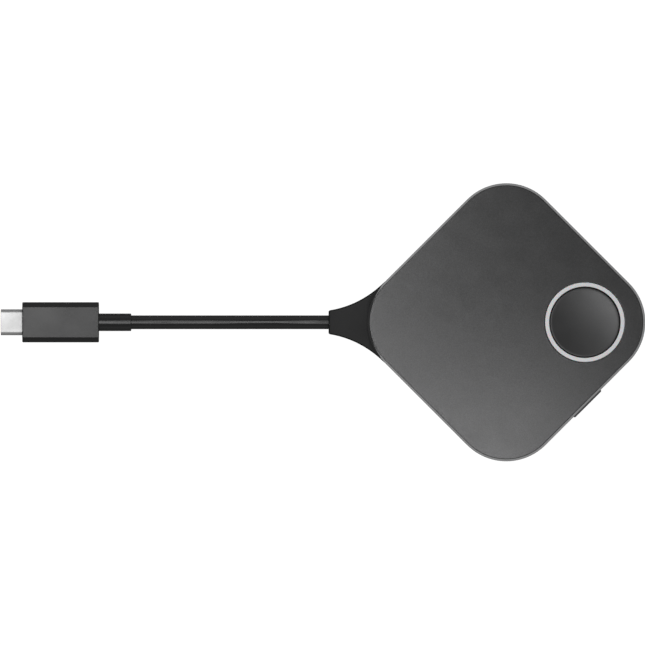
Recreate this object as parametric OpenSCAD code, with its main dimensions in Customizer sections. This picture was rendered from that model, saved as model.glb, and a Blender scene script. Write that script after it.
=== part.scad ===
// Wireless presentation dongle: a rounded square puck turned to stand on one corner,
// with a dished present button in a light ring, a pairing key in one side, and a short
// captive cord that leaves through a flared neck and ends in a small reversible plug.
// X runs away from the cord, Z up, and the origin is the middle of the puck on the table.

/* [Housing] */
// Side of the square housing, across its flat sides
body_w = 72.8; // [71:0.2:76]
// Radius of the four upright corners
corner_r = 17.6; // [17:0.2:20]
// Height of the closed housing without its feet
body_h = 15.6; // [15.2:0.1:18]
// Thickness of the side walls
wall = 1.8; // [1.6:0.1:2.2]
// Thickness of the bottom cover's floor
floor_t = 1.8; // [1.6:0.1:2.2]
// Height of the parting line above the underside
split_h = 5.6; // [5.4:0.1:5.9]
// Rounding of the lower edge
edge_r = 3.2; // [2.4:0.1:3.6]
// Rounding of the rim at the top
rim_r = 0.45; // [0.3:0.05:0.5]
// Height and depth of the shadow line between the covers
shadow_gap = 0.3; // [0.2:0.05:0.4]
// Height of the lip that locates the covers
lip_h = 1; // [0.8:0.1:1.2]

/* [Top plate] */
// Width of the rim that frames the plate
rim_w = 0.65; // [0.55:0.05:0.9]
// Thickness of the metal plate
plate_t = 0.8; // [0.6:0.1:1]
// Depth of the plate's face below the rim
plate_drop = 0.1; // [0.05:0.05:0.2]
// Thickness of the adhesive film under the plate
film_t = 0.15; // [0.1:0.05:0.2]
// Thickness of the deck that carries the plate
deck_t = 1.4; // [1.2:0.1:1.6]

/* [Present button] */
// Distance of the button's middle from the corner of the housing
button_in = 19.2; // [17.8:0.1:19.8]
// Diameter of the button
button_d = 22; // [21.6:0.1:22.2]
// Depth of the dish in its face
dish_depth = 0.8; // [0.5:0.1:1]
// Travel of the button
press_travel = 0.5; // [0.3:0.1:0.6]
// Outer diameter of the light ring
ring_d = 25.4; // [25.2:0.1:25.6]
// Width of the light ring
ring_w = 1.35; // [1.2:0.05:1.4]
// Lights under the ring
led_count = 8; // [6:1:12]

/* [Pairing key] */
// Length of the key along the side
key_w = 12.1; // [11:0.1:12.6]
// Height of the key
key_h = 3.2; // [3:0.1:3.3]
// How far the key stands out of the side
key_proud = 0.55; // [0.5:0.05:0.8]
// Travel of the key
key_travel = 0.35; // [0.2:0.05:0.4]

/* [Neck and cord] */
// Length of the neck beyond the corner of the housing
neck_len = 12.3; // [11:0.1:13.4]
// Radius of the hollow curves of the neck's sides
neck_r = 30.6; // [30:0.2:36]
// Height of the neck's front face
neck_front_h = 7.4; // [6.8:0.1:7.6]
// Height of the cord's middle above the table where it leaves the neck
neck_axis_h = 6.1; // [5.9:0.1:6.3]
// Drop of the neck's root below the rim
neck_drop = 4.2; // [3.8:0.1:4.6]
// Diameter of the cord
cord_d = 4.4; // [4:0.1:4.5]

/* [Plug] */
// Length of the strain relief behind the plug
relief_len = 10.3; // [9:0.1:12]
// Diameter of the strain relief
relief_d = 5.6; // [5:0.1:5.8]
// Length of the plug's moulded housing
plug_len = 24.4; // [22:0.1:28]
// Width of the plug's housing
plug_w = 12.8; // [12:0.1:13]
// Thickness of the plug's housing
plug_t = 6.2; // [6:0.1:6.6]
// Width of the sloping shoulder along each side of the plug
plug_bevel = 1.55; // [1.2:0.05:1.8]
// Width of the metal shell
shell_w = 8.25; // [8.2:0.01:8.3]
// Thickness of the metal shell
shell_h = 2.4; // [2.36:0.01:2.44]
// Length of the shell in front of the housing
shell_len = 6.85; // [6.2:0.05:7]

/* [Feet and screws] */
// Diameter of the feet
foot_d = 9; // [8:0.1:9.6]
// How far the feet stand out of the underside
foot_h = 0.8; // [0.6:0.1:1]
// Diameter of the case screws
screw_d = 2; // [1.8:0.1:2.1]

/* [Main board] */
// Thickness of the main board
board_t = 1.2; // [1:0.1:1.4]
// Height of the posts that carry the main board
board_lift = 4; // [3.8:0.1:4.2]

/* [Hidden] */
$fn = 72;

// Named overrun of every cut, and the clearances that all pieces share
over = 0.1;
seat = 0.05;
slide_gap = 0.2;
slot_gap = 0.15;

// Housing: half its width, the corners' centres and the levels from the table up
half_w = body_w / 2;
corner_c = half_w - corner_r;
corner_x = corner_c * sqrt(2);
tip_x = corner_x + corner_r;
z_under = foot_h;
z_floor = z_under + floor_t;
z_split = z_under + split_h;
z_top = z_under + body_h;
z_plate_top = z_top - plate_drop;
z_plate = z_plate_top - plate_t;
z_deck_top = z_plate - film_t;
z_deck = z_deck_top - deck_t;
z_board = z_floor + board_lift;
z_board_top = z_board + board_t;
lip_t = wall / 2 - seat;

// Button: light ring, cap, flange, baffle and the switch under it
button_x = tip_x - button_in;
ring_seat = slot_gap;
ring_r = ring_d / 2;
ring_in_r = ring_r - ring_w;
ring_flange_t = 1;
ring_flange_w = 1.4;
ring_flange_r = ring_r + ring_flange_w;
z_ring = z_deck - ring_flange_t;
button_r = button_d / 2;
button_lip = 0.4;
button_edge = 0.25;
cap_wall = 1.4;
crown_t = 1.6;
cap_flange_t = 1;
cap_flange_w = 1.4;
z_cap_flange_top = z_ring - seat;
z_cap = z_cap_flange_top - cap_flange_t;
z_cap_roof = z_top - dish_depth - crown_t;
dish_a = button_r - button_lip;
dish_r = (dish_a * dish_a + dish_depth * dish_depth) / (2 * dish_depth);
post_d = 4.4;
baffle_wall = 0.45;
baffle_in_r = button_r + cap_flange_w + slide_gap;
baffle_out_r = ring_flange_r;
switch_w = 6;
switch_h = 3.4;
switch_edge = 0.4;
plunger_d = 3.4;
plunger_out = 0.9;
plunger_in = 1.4;
z_switch = z_board_top + switch_h;
z_plunger = z_switch + plunger_out;
plunger_play = 0.04;
plunger_relief = 0.2;

// Lights under the ring
led_w = 1.6;
led_d = 0.8;
led_h = 0.6;
led_r = (baffle_in_r + baffle_out_r - baffle_wall) / 2;

// Pairing key: opening in the wall, flange, stem and switch
key_opening_gap = slide_gap;
key_flange_t = 1;
key_flange_w = 1.1;
key_flange_rim = 0.55;
key_edge = 0.25;
stem_d = 2.4;
side_switch_w = 6;
side_switch_d = 2.6;
side_switch_h = 3.5;
side_plunger_d = 1.8;
side_plunger_out = 0.8;
side_plunger_in = 1;
z_key = z_board_top + side_switch_h / 2;
key_u = half_w - wall - seat;
key_back_u = key_u - key_flange_t;
stem_len = 0.8;
side_plunger_u = key_back_u - stem_len;
side_switch_u = side_plunger_u - side_plunger_out;
board_notch_gap = 0.3;
board_notch_u = key_back_u - key_travel - board_notch_gap;

// Main board: gap to the walls and the corner that is cut off for the cable
board_gap = 0.9;
board_cut = 14.4;
board_tip = tip_x - wall - board_gap;
board_cut_x = tip_x - board_cut;

// Screws: two bosses beside the key and its mirror place, two by the board's cut corner
boss_d = 4;
pillar_d = 5.6;
boss_in = 5.9;
boss_gap = 0.35;
boss_edge = 3;
boss_u = half_w - boss_in;
boss_v = key_w / 2 + key_flange_w + boss_gap + boss_d / 2;
boss_w = boss_u - (board_cut_x - boss_edge) * sqrt(2);
BOSSES = [[boss_u, -boss_v], [-boss_v, boss_u], [-boss_u, boss_w], [boss_w, -boss_u]];
screw_play = 0.15;
thread_play = 0.02;
thread_d = screw_d - screw_play;
head_d = 3.8;
head_h = 1.4;
head_gap = 0.2;
head_sunk = 1;
screw_len = 8;
pilot_len = 4.4;
drive_w = 0.45;
drive_len = 2.2;
drive_depth = 0.7;
z_head = z_under + head_sunk + head_h;

// Feet under the four corners
foot_out = 5.5;
foot_seat = 0.8;
foot_edge = 0.4;
foot_at = corner_x + foot_out;

// Neck: outside, the tongue through the wall, the flange behind it and the bore
neck_front_x = -(tip_x + neck_len);
neck_gap = seat;
neck_tip_cut = 1.1;
neck_root_rise = 0.3;
neck_root_in = 5;
neck_half_w = corner_r * sin(45) - neck_tip_cut;
neck_c = (corner_r + neck_r) * cos(45);
tongue_w = 8.4;
tongue_h = 5.6;
tongue_gap = 0.1;
flange_w = 12;
flange_h = 6.6;
flange_t = 2;
flange_x = tip_x - wall - flange_t;
bore_play = 0.05;
bore_d = cord_d + 2 * bore_play;

// Cable clamp and ferrule inside the housing
ferrule_l = 2.4;
ferrule_t = 0.5;
clamp_l = 3.4;
clamp_w = 14;
clamp_h = 3.2;
clamp_gap = 0.1;
clamp_screw_d = 1.6;
clamp_screw_y = 4.8;
clamp_head_d = 3;
clamp_head_h = 1;
clamp_screw_l = 4.6;
ferrule_x = -(flange_x - slot_gap);
clamp_x = ferrule_x + ferrule_l + slot_gap;
z_clamp_top = neck_axis_h + clamp_h;

// Wires from the cord to their header on the main board
wire_d = 0.9;
wire_count = 6;
wire_pitch = 1.25;
wire_step = 0.6;
wire_row = 1;
wire_sides = 6;
header_l = 4;
header_w = 9.4;
header_h = 3;
header_wall = 0.5;
header_edge = 0.6;
header_x = header_edge - board_cut_x;

// Parts on the board, placed from the header, the light baffle and the board's corners
part_gap = 1;
chip_edge = 0.2;
room_x0 = header_x + header_l;
room_x1 = button_x - baffle_out_r;
processor_w = 12;
processor_h = 1.2;
processor_at = [(room_x0 + room_x1) / 2, 0];
pad_t = 0.8;
spreader_gap = 2;
spreader_l = room_x1 - room_x0 - 2 * spreader_gap;
spreader_w = 16;
spreader_t = 0.8;
spreader_leg_t = 0.8;
memory_w = 8;
memory_h = 1;
memory_y = -(spreader_w / 2 + part_gap + memory_w / 2);
coil_w = 5;
coil_h = 1.8;
coil_r = 0.8;
coil_step = coil_w + part_gap;
coil_x = header_x + coil_w / 2;
coil_y = (boss_u + boss_w) / sqrt(2) - boss_d / 2 - part_gap - coil_w / 2;
COILS = [[coil_x, coil_y], [coil_x + coil_step, coil_y], [coil_x + coil_step, coil_y + coil_step]];
module_w = [12, 14];
module_t = 0.8;
module_x = -1;
module_in = 7.4;
module_at = [module_x, board_tip - module_in - module_w[1] / 2];
shield_inset = 1;
shield_h = 1.8;
shield_t = 0.25;
antenna_w = [14, 4];
antenna_t = 0.3;
antenna_h = 3.6;
antenna_in = 5.5;
antenna_step = 5.2;
antenna_y = antenna_in + antenna_w[1] / 2 - board_tip;

// Cord: the points that its middle follows, from the neck to the strain relief
cord_points = [
  [-56.49, 0, 6.1], [-61, 0, 6.1], [-65.5, 0, 5.9], [-70, 0, 5.35], [-74.5, 0, 4.5],
  [-79, 0, 3.65], [-83.5, 0, 2.95], [-88, 0, 2.45], [-92.5, 0, 2.2], [-97, 0, 2.2],
  [-101.5, 0, 2.2], [-106, 0, 2.4], [-110.5, 0, 2.75], [-115, 0, 3.05], [-119.3, 0, 3.1]
];
cord_sides = 12;
cord_step = 2;

// Plug: levels and places from the cord's end outwards
relief_x = cord_points[len(cord_points) - 1][0];
relief_edge = 0.25;
plug_x = relief_x - relief_len;
plug_z = plug_t / 2;
plug_side_h = 2.4;
plug_edge = 0.3;
shell_x = plug_x - plug_len;
shell_t = 0.25;
shell_in = 4;
shell_seat = 0.02;
insert_back = 4.6;
insert_setback = 0.2;
mouth_w = 6.9;
mouth_h = 1;
mouth_depth = 5.6;
contact_count = 12;
contact_pitch = 0.5;
contact_w = 0.26;
contact_t = 0.14;
contact_l = 4.2;
contact_setback = 0.9;
latch_w = 0.3;
latch_h = 0.8;
latch_l = 4;
chamber_l = 15;
chamber_w = 9;
chamber_h = 3;
plug_board_l = 11;
plug_board_w = 8;
plug_board_t = 0.8;

// Turns the square housing so that one corner points along X
module turned() rotate([0, 0, -45]) children();

// Outline of the housing, drawn in by a margin on every side
module outline(inset) {
  half = half_w - inset;
  r = corner_r - inset;
  square([2 * half, 2 * (half - r)], center = true);
  square([2 * (half - r), 2 * half], center = true);
  for (x = [-1, 1], y = [-1, 1]) translate([x * (half - r), y * (half - r)]) circle(r);
}

// Closed prism of the housing's outline between two levels
module prism(inset, z0, z1) translate([0, 0, z0]) linear_extrude(z1 - z0) outline(inset);

// Sweeps an edge section round the housing, with x measured from the corners' centres
module swept(inset) {
  c = half_w - inset - (corner_r - inset);
  for (k = [0:3]) rotate([0, 0, 90 * k]) {
    translate([c, c, 0]) rotate_extrude(angle = 90) children();
    translate([c, c, 0]) rotate([90, 0, 0]) linear_extrude(2 * c) children();
  }
}

// Section that runs out to r and up to h, with its lower outer corner rounded
module rounded_section(r, h, e) {
  square([r - e, h]);
  translate([0, e]) square([r, h - e]);
  translate([r - e, e]) circle(e);
}

// Solid body of the bottom cover with its rounded lower edge
module lower_body(grow) {
  h = split_h - shadow_gap;
  translate([0, 0, z_under - grow]) {
    swept(-grow) rounded_section(corner_r + grow, h + grow, edge_r + grow);
    linear_extrude(h + grow) square(2 * corner_c, center = true);
  }
}

// Solid body of the top cover with its rounded rim
module upper_body() {
  h = z_top - z_split;
  translate([0, 0, z_top]) mirror([0, 0, 1]) {
    swept(0) rounded_section(corner_r, h, rim_r);
    linear_extrude(h) square(2 * corner_c, center = true);
  }
}

// Long flat section with full round ends
module stadium(w, h) {
  square([w - h, h], center = true);
  for (s = [-1, 1]) translate([s * (w - h) / 2, 0]) circle(d = h);
}

// Extrudes a section along X, with its width along Y and its height along Z
module along_x(l) rotate([90, 0, 90]) linear_extrude(l) children();

// Block that stands on its base, centred in X and Y
module block(size) translate([-size[0] / 2, -size[1] / 2, 0]) cube(size);

// Passage through both covers for the neck's tongue
module tongue_notch() {
  w = tongue_w + 2 * tongue_gap;
  h = tongue_h + 2 * tongue_gap;
  translate([-tip_x - over, -w / 2, neck_axis_h - h / 2]) cube([neck_root_in, w, h]);
}

module top_cover() color("#4b4c4e") {
  difference() {
    union() {
      turned() difference() {
        upper_body();
        prism(wall, z_split - over, z_deck);
        prism(rim_w, z_deck_top, z_top + over);
        prism(wall / 2, z_split - over, z_split + lip_h + seat);
      }
      turned() for (p = BOSSES) translate([p[0], p[1], z_board_top])
        cylinder(h = z_deck - z_board_top, d = boss_d);
    }
    turned() for (p = BOSSES) translate([p[0], p[1], z_board_top - over])
      cylinder(h = pilot_len + over, d = thread_d + 2 * thread_play);
    translate([button_x, 0, z_deck - over])
      cylinder(h = deck_t + 2 * over, r = ring_r + ring_seat);
    tongue_notch();
    turned() translate([half_w - wall - over, 0, z_key]) along_x(wall + 2 * over)
      stadium(key_w + 2 * key_opening_gap, key_h + 2 * key_opening_gap);
  }
}

// Metal plate let into the rim, with the opening for the light ring
module top_plate() color("#5d5d5f") difference() {
  turned() prism(rim_w + slide_gap, z_plate, z_plate_top);
  translate([button_x, 0, z_plate - over])
    cylinder(h = plate_t + 2 * over, r = ring_r + ring_seat);
}

// Adhesive film that holds the plate on its deck
module plate_film() color("#d8d4c4") difference() {
  turned() prism(rim_w + 2 * slide_gap, z_deck_top, z_plate);
  translate([button_x, 0, z_deck_top - over])
    cylinder(h = film_t + 2 * over, r = ring_r + ring_seat + slide_gap);
}

// Translucent ring with a flange that seats under the deck
module light_ring() color("#c4c5c7") translate([button_x, 0, 0]) rotate_extrude()
  polygon([
    [ring_in_r, z_ring], [ring_flange_r, z_ring], [ring_flange_r, z_deck], [ring_r, z_deck],
    [ring_r, z_top - slot_gap], [ring_r - slot_gap, z_top], [ring_in_r + slot_gap, z_top],
    [ring_in_r, z_top - slot_gap]
  ]);

// Dished cap with a flange that stops it under the ring, and a post over the switch
module present_button() color("#3c3d3f") translate([button_x, 0, 0]) {
  difference() {
    rotate_extrude() polygon([
      [0, z_cap], [button_r + cap_flange_w, z_cap], [button_r + cap_flange_w, z_cap_flange_top],
      [button_r, z_cap_flange_top], [button_r, z_top - button_edge],
      [button_r - button_edge, z_top], [0, z_top]
    ]);
    translate([0, 0, z_top - dish_depth + dish_r]) sphere(dish_r, $fn = 180);
    translate([0, 0, z_cap - over])
      cylinder(h = z_cap_roof - z_cap + over, r = button_r - cap_wall);
  }
  translate([0, 0, z_plunger]) cylinder(h = z_cap_roof - z_plunger, d = post_d);
}

// Key in the lower right side: cap, flange behind the wall and stem to its switch
module pair_key() color("#38393b") turned() translate([0, 0, z_key]) {
  face_u = half_w + key_proud;
  translate([key_u, 0, 0]) along_x(face_u - key_edge - key_u) stadium(key_w, key_h);
  translate([face_u - key_edge, 0, 0]) along_x(key_edge)
    stadium(key_w - 2 * key_edge, key_h - 2 * key_edge);
  translate([key_back_u, 0, 0]) along_x(key_flange_t)
    stadium(key_w + 2 * key_flange_w, key_h + 2 * key_flange_rim);
  translate([side_plunger_u, 0, 0]) along_x(stem_len) circle(d = stem_d);
}

// Bottom cover: floor, wall, locating lip, board pillars and the cradle of the cable
module bottom_cover() color("#1d1e20") {
  difference() {
    union() {
      turned() difference() {
        union() {
          lower_body(0);
          prism(shadow_gap, z_split - shadow_gap, z_split);
          prism(wall - lip_t, z_split, z_split + lip_h);
        }
        prism(wall, z_floor, z_split + lip_h + over);
      }
      turned() for (p = BOSSES) translate([p[0], p[1], z_floor])
        cylinder(h = board_lift, d = pillar_d);
      translate([clamp_x, -clamp_w / 2, z_floor])
        cube([clamp_l, clamp_w, neck_axis_h - clamp_gap - z_floor]);
    }
    turned() for (p = BOSSES) translate([p[0], p[1], z_under - over]) {
      cylinder(h = head_sunk + head_h + over, d = head_d + 2 * head_gap);
      cylinder(h = z_board - z_under + 2 * over, d = screw_d + 2 * screw_play);
    }
    for (a = [0:3]) rotate([0, 0, 90 * a]) translate([foot_at, 0, z_under - over])
      cylinder(h = foot_seat + over, d = foot_d + 2 * seat);
    tongue_notch();
    translate([clamp_x - over, 0, neck_axis_h]) rotate([0, 90, 0])
      cylinder(h = clamp_l + 2 * over, d = bore_d);
    for (s = [-1, 1]) translate([clamp_x + clamp_l / 2, s * clamp_screw_y, z_floor])
      cylinder(h = neck_axis_h, d = clamp_screw_d + 2 * thread_play);
  }
}

// Round rubber feet with a softened lower edge
module feet() color("#2a2a2b") for (a = [0:3]) rotate([0, 0, 90 * a]) translate([foot_at, 0, 0]) {
  cylinder(h = foot_edge, d1 = foot_d - 2 * foot_edge, d2 = foot_d);
  translate([0, 0, foot_edge]) cylinder(h = foot_h + foot_seat - foot_edge, d = foot_d);
}

// Screws that clamp the main board between pillar and boss, each with a cross drive
module case_screws() color("#b4b6ba") turned() for (p = BOSSES) translate([p[0], p[1], z_head]) {
  difference() {
    translate([0, 0, -head_h]) cylinder(h = head_h, d = head_d);
    for (a = [0, 90]) rotate([0, 0, a]) translate([0, 0, -head_h - over])
      block([drive_len, drive_w, drive_depth + over]);
  }
  cylinder(h = screw_len, d = thread_d);
}

// Plan of the neck: its hollow curves touch the housing's corner arc from both sides
module neck_plan() difference() {
  translate([neck_front_x, -neck_half_w]) square([neck_len + neck_root_in, 2 * neck_half_w]);
  for (s = [-1, 1]) translate([-corner_x - neck_c, s * neck_c]) circle(neck_r, $fn = 180);
}

// Side view of the neck: it tapers from its root to the front face
module neck_side() {
  root_x = -tip_x + neck_root_in;
  z_root = z_under + neck_root_rise;
  z_root_top = z_top - neck_drop;
  z_low = neck_axis_h - neck_front_h / 2;
  z_high = neck_axis_h + neck_front_h / 2;
  polygon([
    [neck_front_x, z_low], [-tip_x, z_root], [root_x, z_root],
    [root_x, z_root_top], [-tip_x, z_root_top], [neck_front_x, z_high]
  ]);
}

// Flared neck that wraps the corner, with a tongue and flange that lock it in the wall
module cable_neck() color("#232425") difference() {
  union() {
    difference() {
      intersection() {
        linear_extrude(z_top) neck_plan();
        translate([0, neck_half_w, 0]) rotate([90, 0, 0]) linear_extrude(2 * neck_half_w) neck_side();
      }
      turned() lower_body(neck_gap);
      translate([-corner_x, 0, z_split - shadow_gap]) cylinder(h = z_top, r = corner_r + neck_gap);
    }
    translate([-tip_x - neck_gap, -tongue_w / 2, neck_axis_h - tongue_h / 2])
      cube([tip_x + neck_gap - flange_x, tongue_w, tongue_h]);
    intersection() {
      translate([-flange_x - flange_t, -flange_w / 2, neck_axis_h - flange_h / 2])
        cube([flange_t, flange_w, flange_h]);
      turned() prism(wall + seat, 0, z_top);
    }
  }
  translate([neck_front_x - over, 0, neck_axis_h]) rotate([0, 90, 0])
    cylinder(h = tip_x + neck_len, d = bore_d);
}

// Points of one ring of a tube, square to the direction d
function ring_points(p, d, r, sides) =
  let (n = d / norm(d), w = cross(n, [0, 1, 0]))
  [for (k = [0:sides - 1]) p + r * cos(360 * k / sides) * w + r * sin(360 * k / sides) * [0, 1, 0]];

// Closed tube of the given radius through a list of points that lie in an upright plane
module tube(path, r, sides) {
  n = len(path);
  dirs = [for (k = [0:n - 1])
    k == 0 || k == n - 1 ? [1, 0, 0] : path[k - 1] - path[k + 1]];
  points = [for (k = [0:n - 1]) each ring_points(path[k], dirs[k], r, sides)];
  sides_faces = [for (k = [0:n - 2], j = [0:sides - 1])
    let (a = k * sides + j, b = k * sides + (j + 1) % sides)
    [a, b, b + sides, a + sides]];
  first = [for (j = [sides - 1:-1:0]) j];
  last = [for (j = [0:sides - 1]) (n - 1) * sides + j];
  polyhedron(points, concat(sides_faces, [first, last]));
}

// Free length of the cord, from the neck's face to the strain relief
module cord_jacket() color("#2b2b2c")
  tube([for (k = [0:cord_step:len(cord_points) - 1]) cord_points[k]], cord_d / 2, cord_sides);

// Cord inside the neck and up to the wires
module cable_tail() color("#2b2b2c") translate([neck_front_x, 0, neck_axis_h]) rotate([0, 90, 0])
  cylinder(h = clamp_x + clamp_l + slot_gap - neck_front_x, d = cord_d);

// Metal sleeve crimped on the cord behind the neck's flange
module cable_ferrule() color("#a8abb0") translate([ferrule_x, 0, neck_axis_h]) rotate([0, 90, 0])
  difference() {
    cylinder(h = ferrule_l, d = bore_d + 2 * ferrule_t);
    translate([0, 0, -over]) cylinder(h = ferrule_l + 2 * over, d = bore_d);
  }

// Saddle that holds the cord down in the bottom cover's cradle
module cable_clamp() color("#303134") difference() {
  translate([clamp_x, -clamp_w / 2, neck_axis_h]) cube([clamp_l, clamp_w, clamp_h]);
  translate([clamp_x - over, 0, neck_axis_h]) rotate([0, 90, 0])
    cylinder(h = clamp_l + 2 * over, d = bore_d);
  for (s = [-1, 1]) translate([clamp_x + clamp_l / 2, s * clamp_screw_y, neck_axis_h - over])
    cylinder(h = clamp_h + 2 * over, d = clamp_screw_d + 2 * screw_play);
}

// Two small screws of the cable clamp
module clamp_screws() color("#b4b6ba") for (s = [-1, 1])
  translate([clamp_x + clamp_l / 2, s * clamp_screw_y, z_clamp_top]) {
    cylinder(h = clamp_head_h, d = clamp_head_d);
    translate([0, 0, -clamp_screw_l]) cylinder(h = clamp_screw_l, d = clamp_screw_d);
  }

// One wire: straight out of the cord, up and across, and straight into the header
module wire(a, b) {
  lead = [wire_d, 0, 0];
  path = [a, a + lead, b - lead, b];
  last = (len(path) - 1) * wire_sides;
  points = [for (p = path, k = [0:wire_sides - 1])
    p + wire_d / 2 * [0, cos(360 * k / wire_sides), sin(360 * k / wire_sides)]];
  skin = [for (k = [0:wire_sides:last - 1], j = [0:wire_sides - 1])
    let (i = k + j, m = k + (j + 1) % wire_sides) [i, i + wire_sides, m + wire_sides, m]];
  front = [for (j = [0:wire_sides - 1]) j];
  back = [for (j = [wire_sides - 1:-1:0]) last + j];
  polyhedron(points, concat(skin, [front, back]));
}

// Wires that leave the cord in two rows and fan out into the header
module cable_wires() color("#8c3030") {
  start_x = clamp_x + clamp_l + slot_gap;
  for (k = [0:wire_count - 1]) {
    place = k - (wire_count - 1) / 2;
    row = (k % 2 - 1 / 2) * wire_row;
    wire([start_x, place * wire_step, neck_axis_h + row],
      [header_x, place * wire_pitch, z_board_top + header_h / 2 + row]);
  }
}

// Header that the wires plug into
module cable_header() color("#e6e2d4") translate([header_x, -header_w / 2, z_board_top])
  difference() {
    cube([header_l, header_w, header_h]);
    translate([header_wall + slot_gap, header_wall, header_wall])
      cube([header_l - 2 * header_wall - slot_gap, header_w - 2 * header_wall, header_h]);
  }

// Main board: follows the walls, with the cord's corner cut off and a notch for the key
module main_board() color("#1f5a3a") difference() {
  turned() prism(wall + board_gap, z_board, z_board_top);
  translate([-board_cut_x - body_w, -half_w, z_board - over])
    cube([body_w, body_w, board_t + 2 * over]);
  turned() for (p = BOSSES) translate([p[0], p[1], z_board - over])
    cylinder(h = board_t + 2 * over, d = screw_d + 2 * screw_play);
  turned() translate([board_notch_u, -key_w / 2 - 2 * key_flange_w, z_board - over])
    cube([half_w - board_notch_u, key_w + 4 * key_flange_w, board_t + 2 * over]);
}

// Square chip package: a low block with a narrower top
module chip(w, h) {
  block([w, w, h - chip_edge]);
  translate([0, 0, h - chip_edge]) block([w - 2 * chip_edge, w - 2 * chip_edge, chip_edge]);
}

// Places children on the main board
module on_board(at) translate([at[0], at[1], z_board_top]) children();

module processor() color("#26272b") on_board(processor_at) chip(processor_w, processor_h);

module memory_chips() color("#2b2c30") for (s = [-1, 1])
  on_board([processor_at[0] + s * (memory_w + part_gap) / 2, memory_y]) chip(memory_w, memory_h);

// Soft pad between the processor and its spreader
module thermal_pad() color("#8fa6b8") on_board(processor_at) translate([0, 0, processor_h])
  block([processor_w - 2 * chip_edge, processor_w - 2 * chip_edge, pad_t]);

// Aluminium spreader on the pad, with two turned down legs on the board
module heat_spreader() color("#c3c6ca") on_board(processor_at) {
  z = processor_h + pad_t;
  translate([0, 0, z]) block([spreader_l, spreader_w, spreader_t]);
  for (s = [-1, 1]) translate([s * (spreader_l - spreader_leg_t) / 2, 0, 0])
    block([spreader_leg_t, spreader_w / 2, z]);
}

// Moulded power coils with rounded upright edges
module power_coils() color("#4a4d52") for (at = COILS) on_board(at) linear_extrude(coil_h) {
  square([coil_w, coil_w - 2 * coil_r], center = true);
  square([coil_w - 2 * coil_r, coil_w], center = true);
  for (x = [-1, 1], y = [-1, 1]) translate([x, y] * (coil_w / 2 - coil_r)) circle(coil_r);
}

module wireless_board() color("#244f7a") on_board(module_at)
  block([module_w[0], module_w[1], module_t]);

// Pressed can over the wireless chips
module wireless_shield() color("#cfd2d6") on_board(module_at) translate([0, 0, module_t]) {
  w = module_w[0] - 2 * shield_inset;
  l = module_w[1] - 2 * shield_inset;
  difference() {
    block([w, l, shield_h]);
    translate([0, 0, -over]) block([w - 2 * shield_t, l - 2 * shield_t, shield_h - shield_t + over]);
  }
}

// Two folded strip antennas, each with a feed leg and a ground leg
module antennas() color("#c9a96a") for (k = [0, 1]) on_board([0, antenna_y + k * antenna_step]) {
  translate([0, 0, antenna_h - antenna_t]) block([antenna_w[0], antenna_w[1], antenna_t]);
  for (x = [-1 / 2, 1 / 6]) translate([x * (antenna_w[0] - antenna_t), 0, 0])
    block([antenna_t, antenna_w[1] / 2, antenna_h - antenna_t]);
}

// White baffle: two round walls that keep the lights under the ring
module light_baffle() color("#eceff1") translate([button_x, 0, z_board_top]) {
  h = z_ring - z_board_top;
  difference() {
    cylinder(h = h, r = baffle_out_r);
    translate([0, 0, -over]) cylinder(h = h + 2 * over, r = baffle_out_r - baffle_wall);
  }
  difference() {
    cylinder(h = z_cap - press_travel - slide_gap - z_board_top, r = baffle_in_r);
    translate([0, 0, -over]) cylinder(h = h + 2 * over, r = baffle_in_r - baffle_wall);
  }
}

module status_leds() color("#f4f1d8") translate([button_x, 0, z_board_top])
  for (k = [0:led_count - 1]) rotate([0, 0, 360 * k / led_count]) translate([led_r, 0, 0])
    block([led_d, led_w, led_h]);

// Body of the switch under the present button, bored for its plunger
module main_switch_body() color("#2e3036") translate([button_x, 0, z_board_top]) difference() {
  union() {
    block([switch_w, switch_w, switch_h - switch_edge]);
    translate([0, 0, switch_h - switch_edge])
      block([switch_w - 2 * switch_edge, switch_w - 2 * switch_edge, switch_edge]);
  }
  translate([0, 0, switch_h - plunger_in - press_travel - plunger_relief])
    cylinder(h = switch_h, d = plunger_d + 2 * plunger_play);
}

module main_switch_plunger() color("#d9d4c8") translate([button_x, 0, z_switch - plunger_in])
  cylinder(h = plunger_in + plunger_out, d = plunger_d);

// Body of the switch behind the pairing key, bored for its plunger
module side_switch_body() color("#2e3036") turned() difference() {
  translate([side_switch_u - side_switch_d, -side_switch_w / 2, z_board_top])
    cube([side_switch_d, side_switch_w, side_switch_h]);
  translate([side_switch_u - side_plunger_in - key_travel - plunger_relief, 0, z_key])
    along_x(side_switch_d) circle(d = side_plunger_d + 2 * plunger_play);
}

module side_switch_plunger() color("#d9d4c8") turned()
  translate([side_switch_u - side_plunger_in, 0, z_key])
    along_x(side_plunger_in + side_plunger_out) circle(d = side_plunger_d);

// Smooth strain relief behind the plug, softened where the cord enters
module plug_relief() color("#232425") translate([plug_x, 0, plug_z]) rotate([0, 90, 0]) {
  cylinder(h = relief_len - relief_edge, d = relief_d);
  translate([0, 0, relief_len - relief_edge])
    cylinder(h = relief_edge, d1 = relief_d, d2 = relief_d - 2 * relief_edge);
}

// Section of the plug's housing: flat faces, sloping shoulders and upright sides
module plug_section(inset) {
  w = plug_w / 2 - inset;
  t = plug_t / 2 - inset;
  s = plug_side_h / 2 - inset / 2;
  f = w - plug_bevel + inset / 2;
  polygon([[w, s], [f, t], [-f, t], [-w, s], [-w, -s], [-f, -t], [f, -t], [w, -s]]);
}

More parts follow.
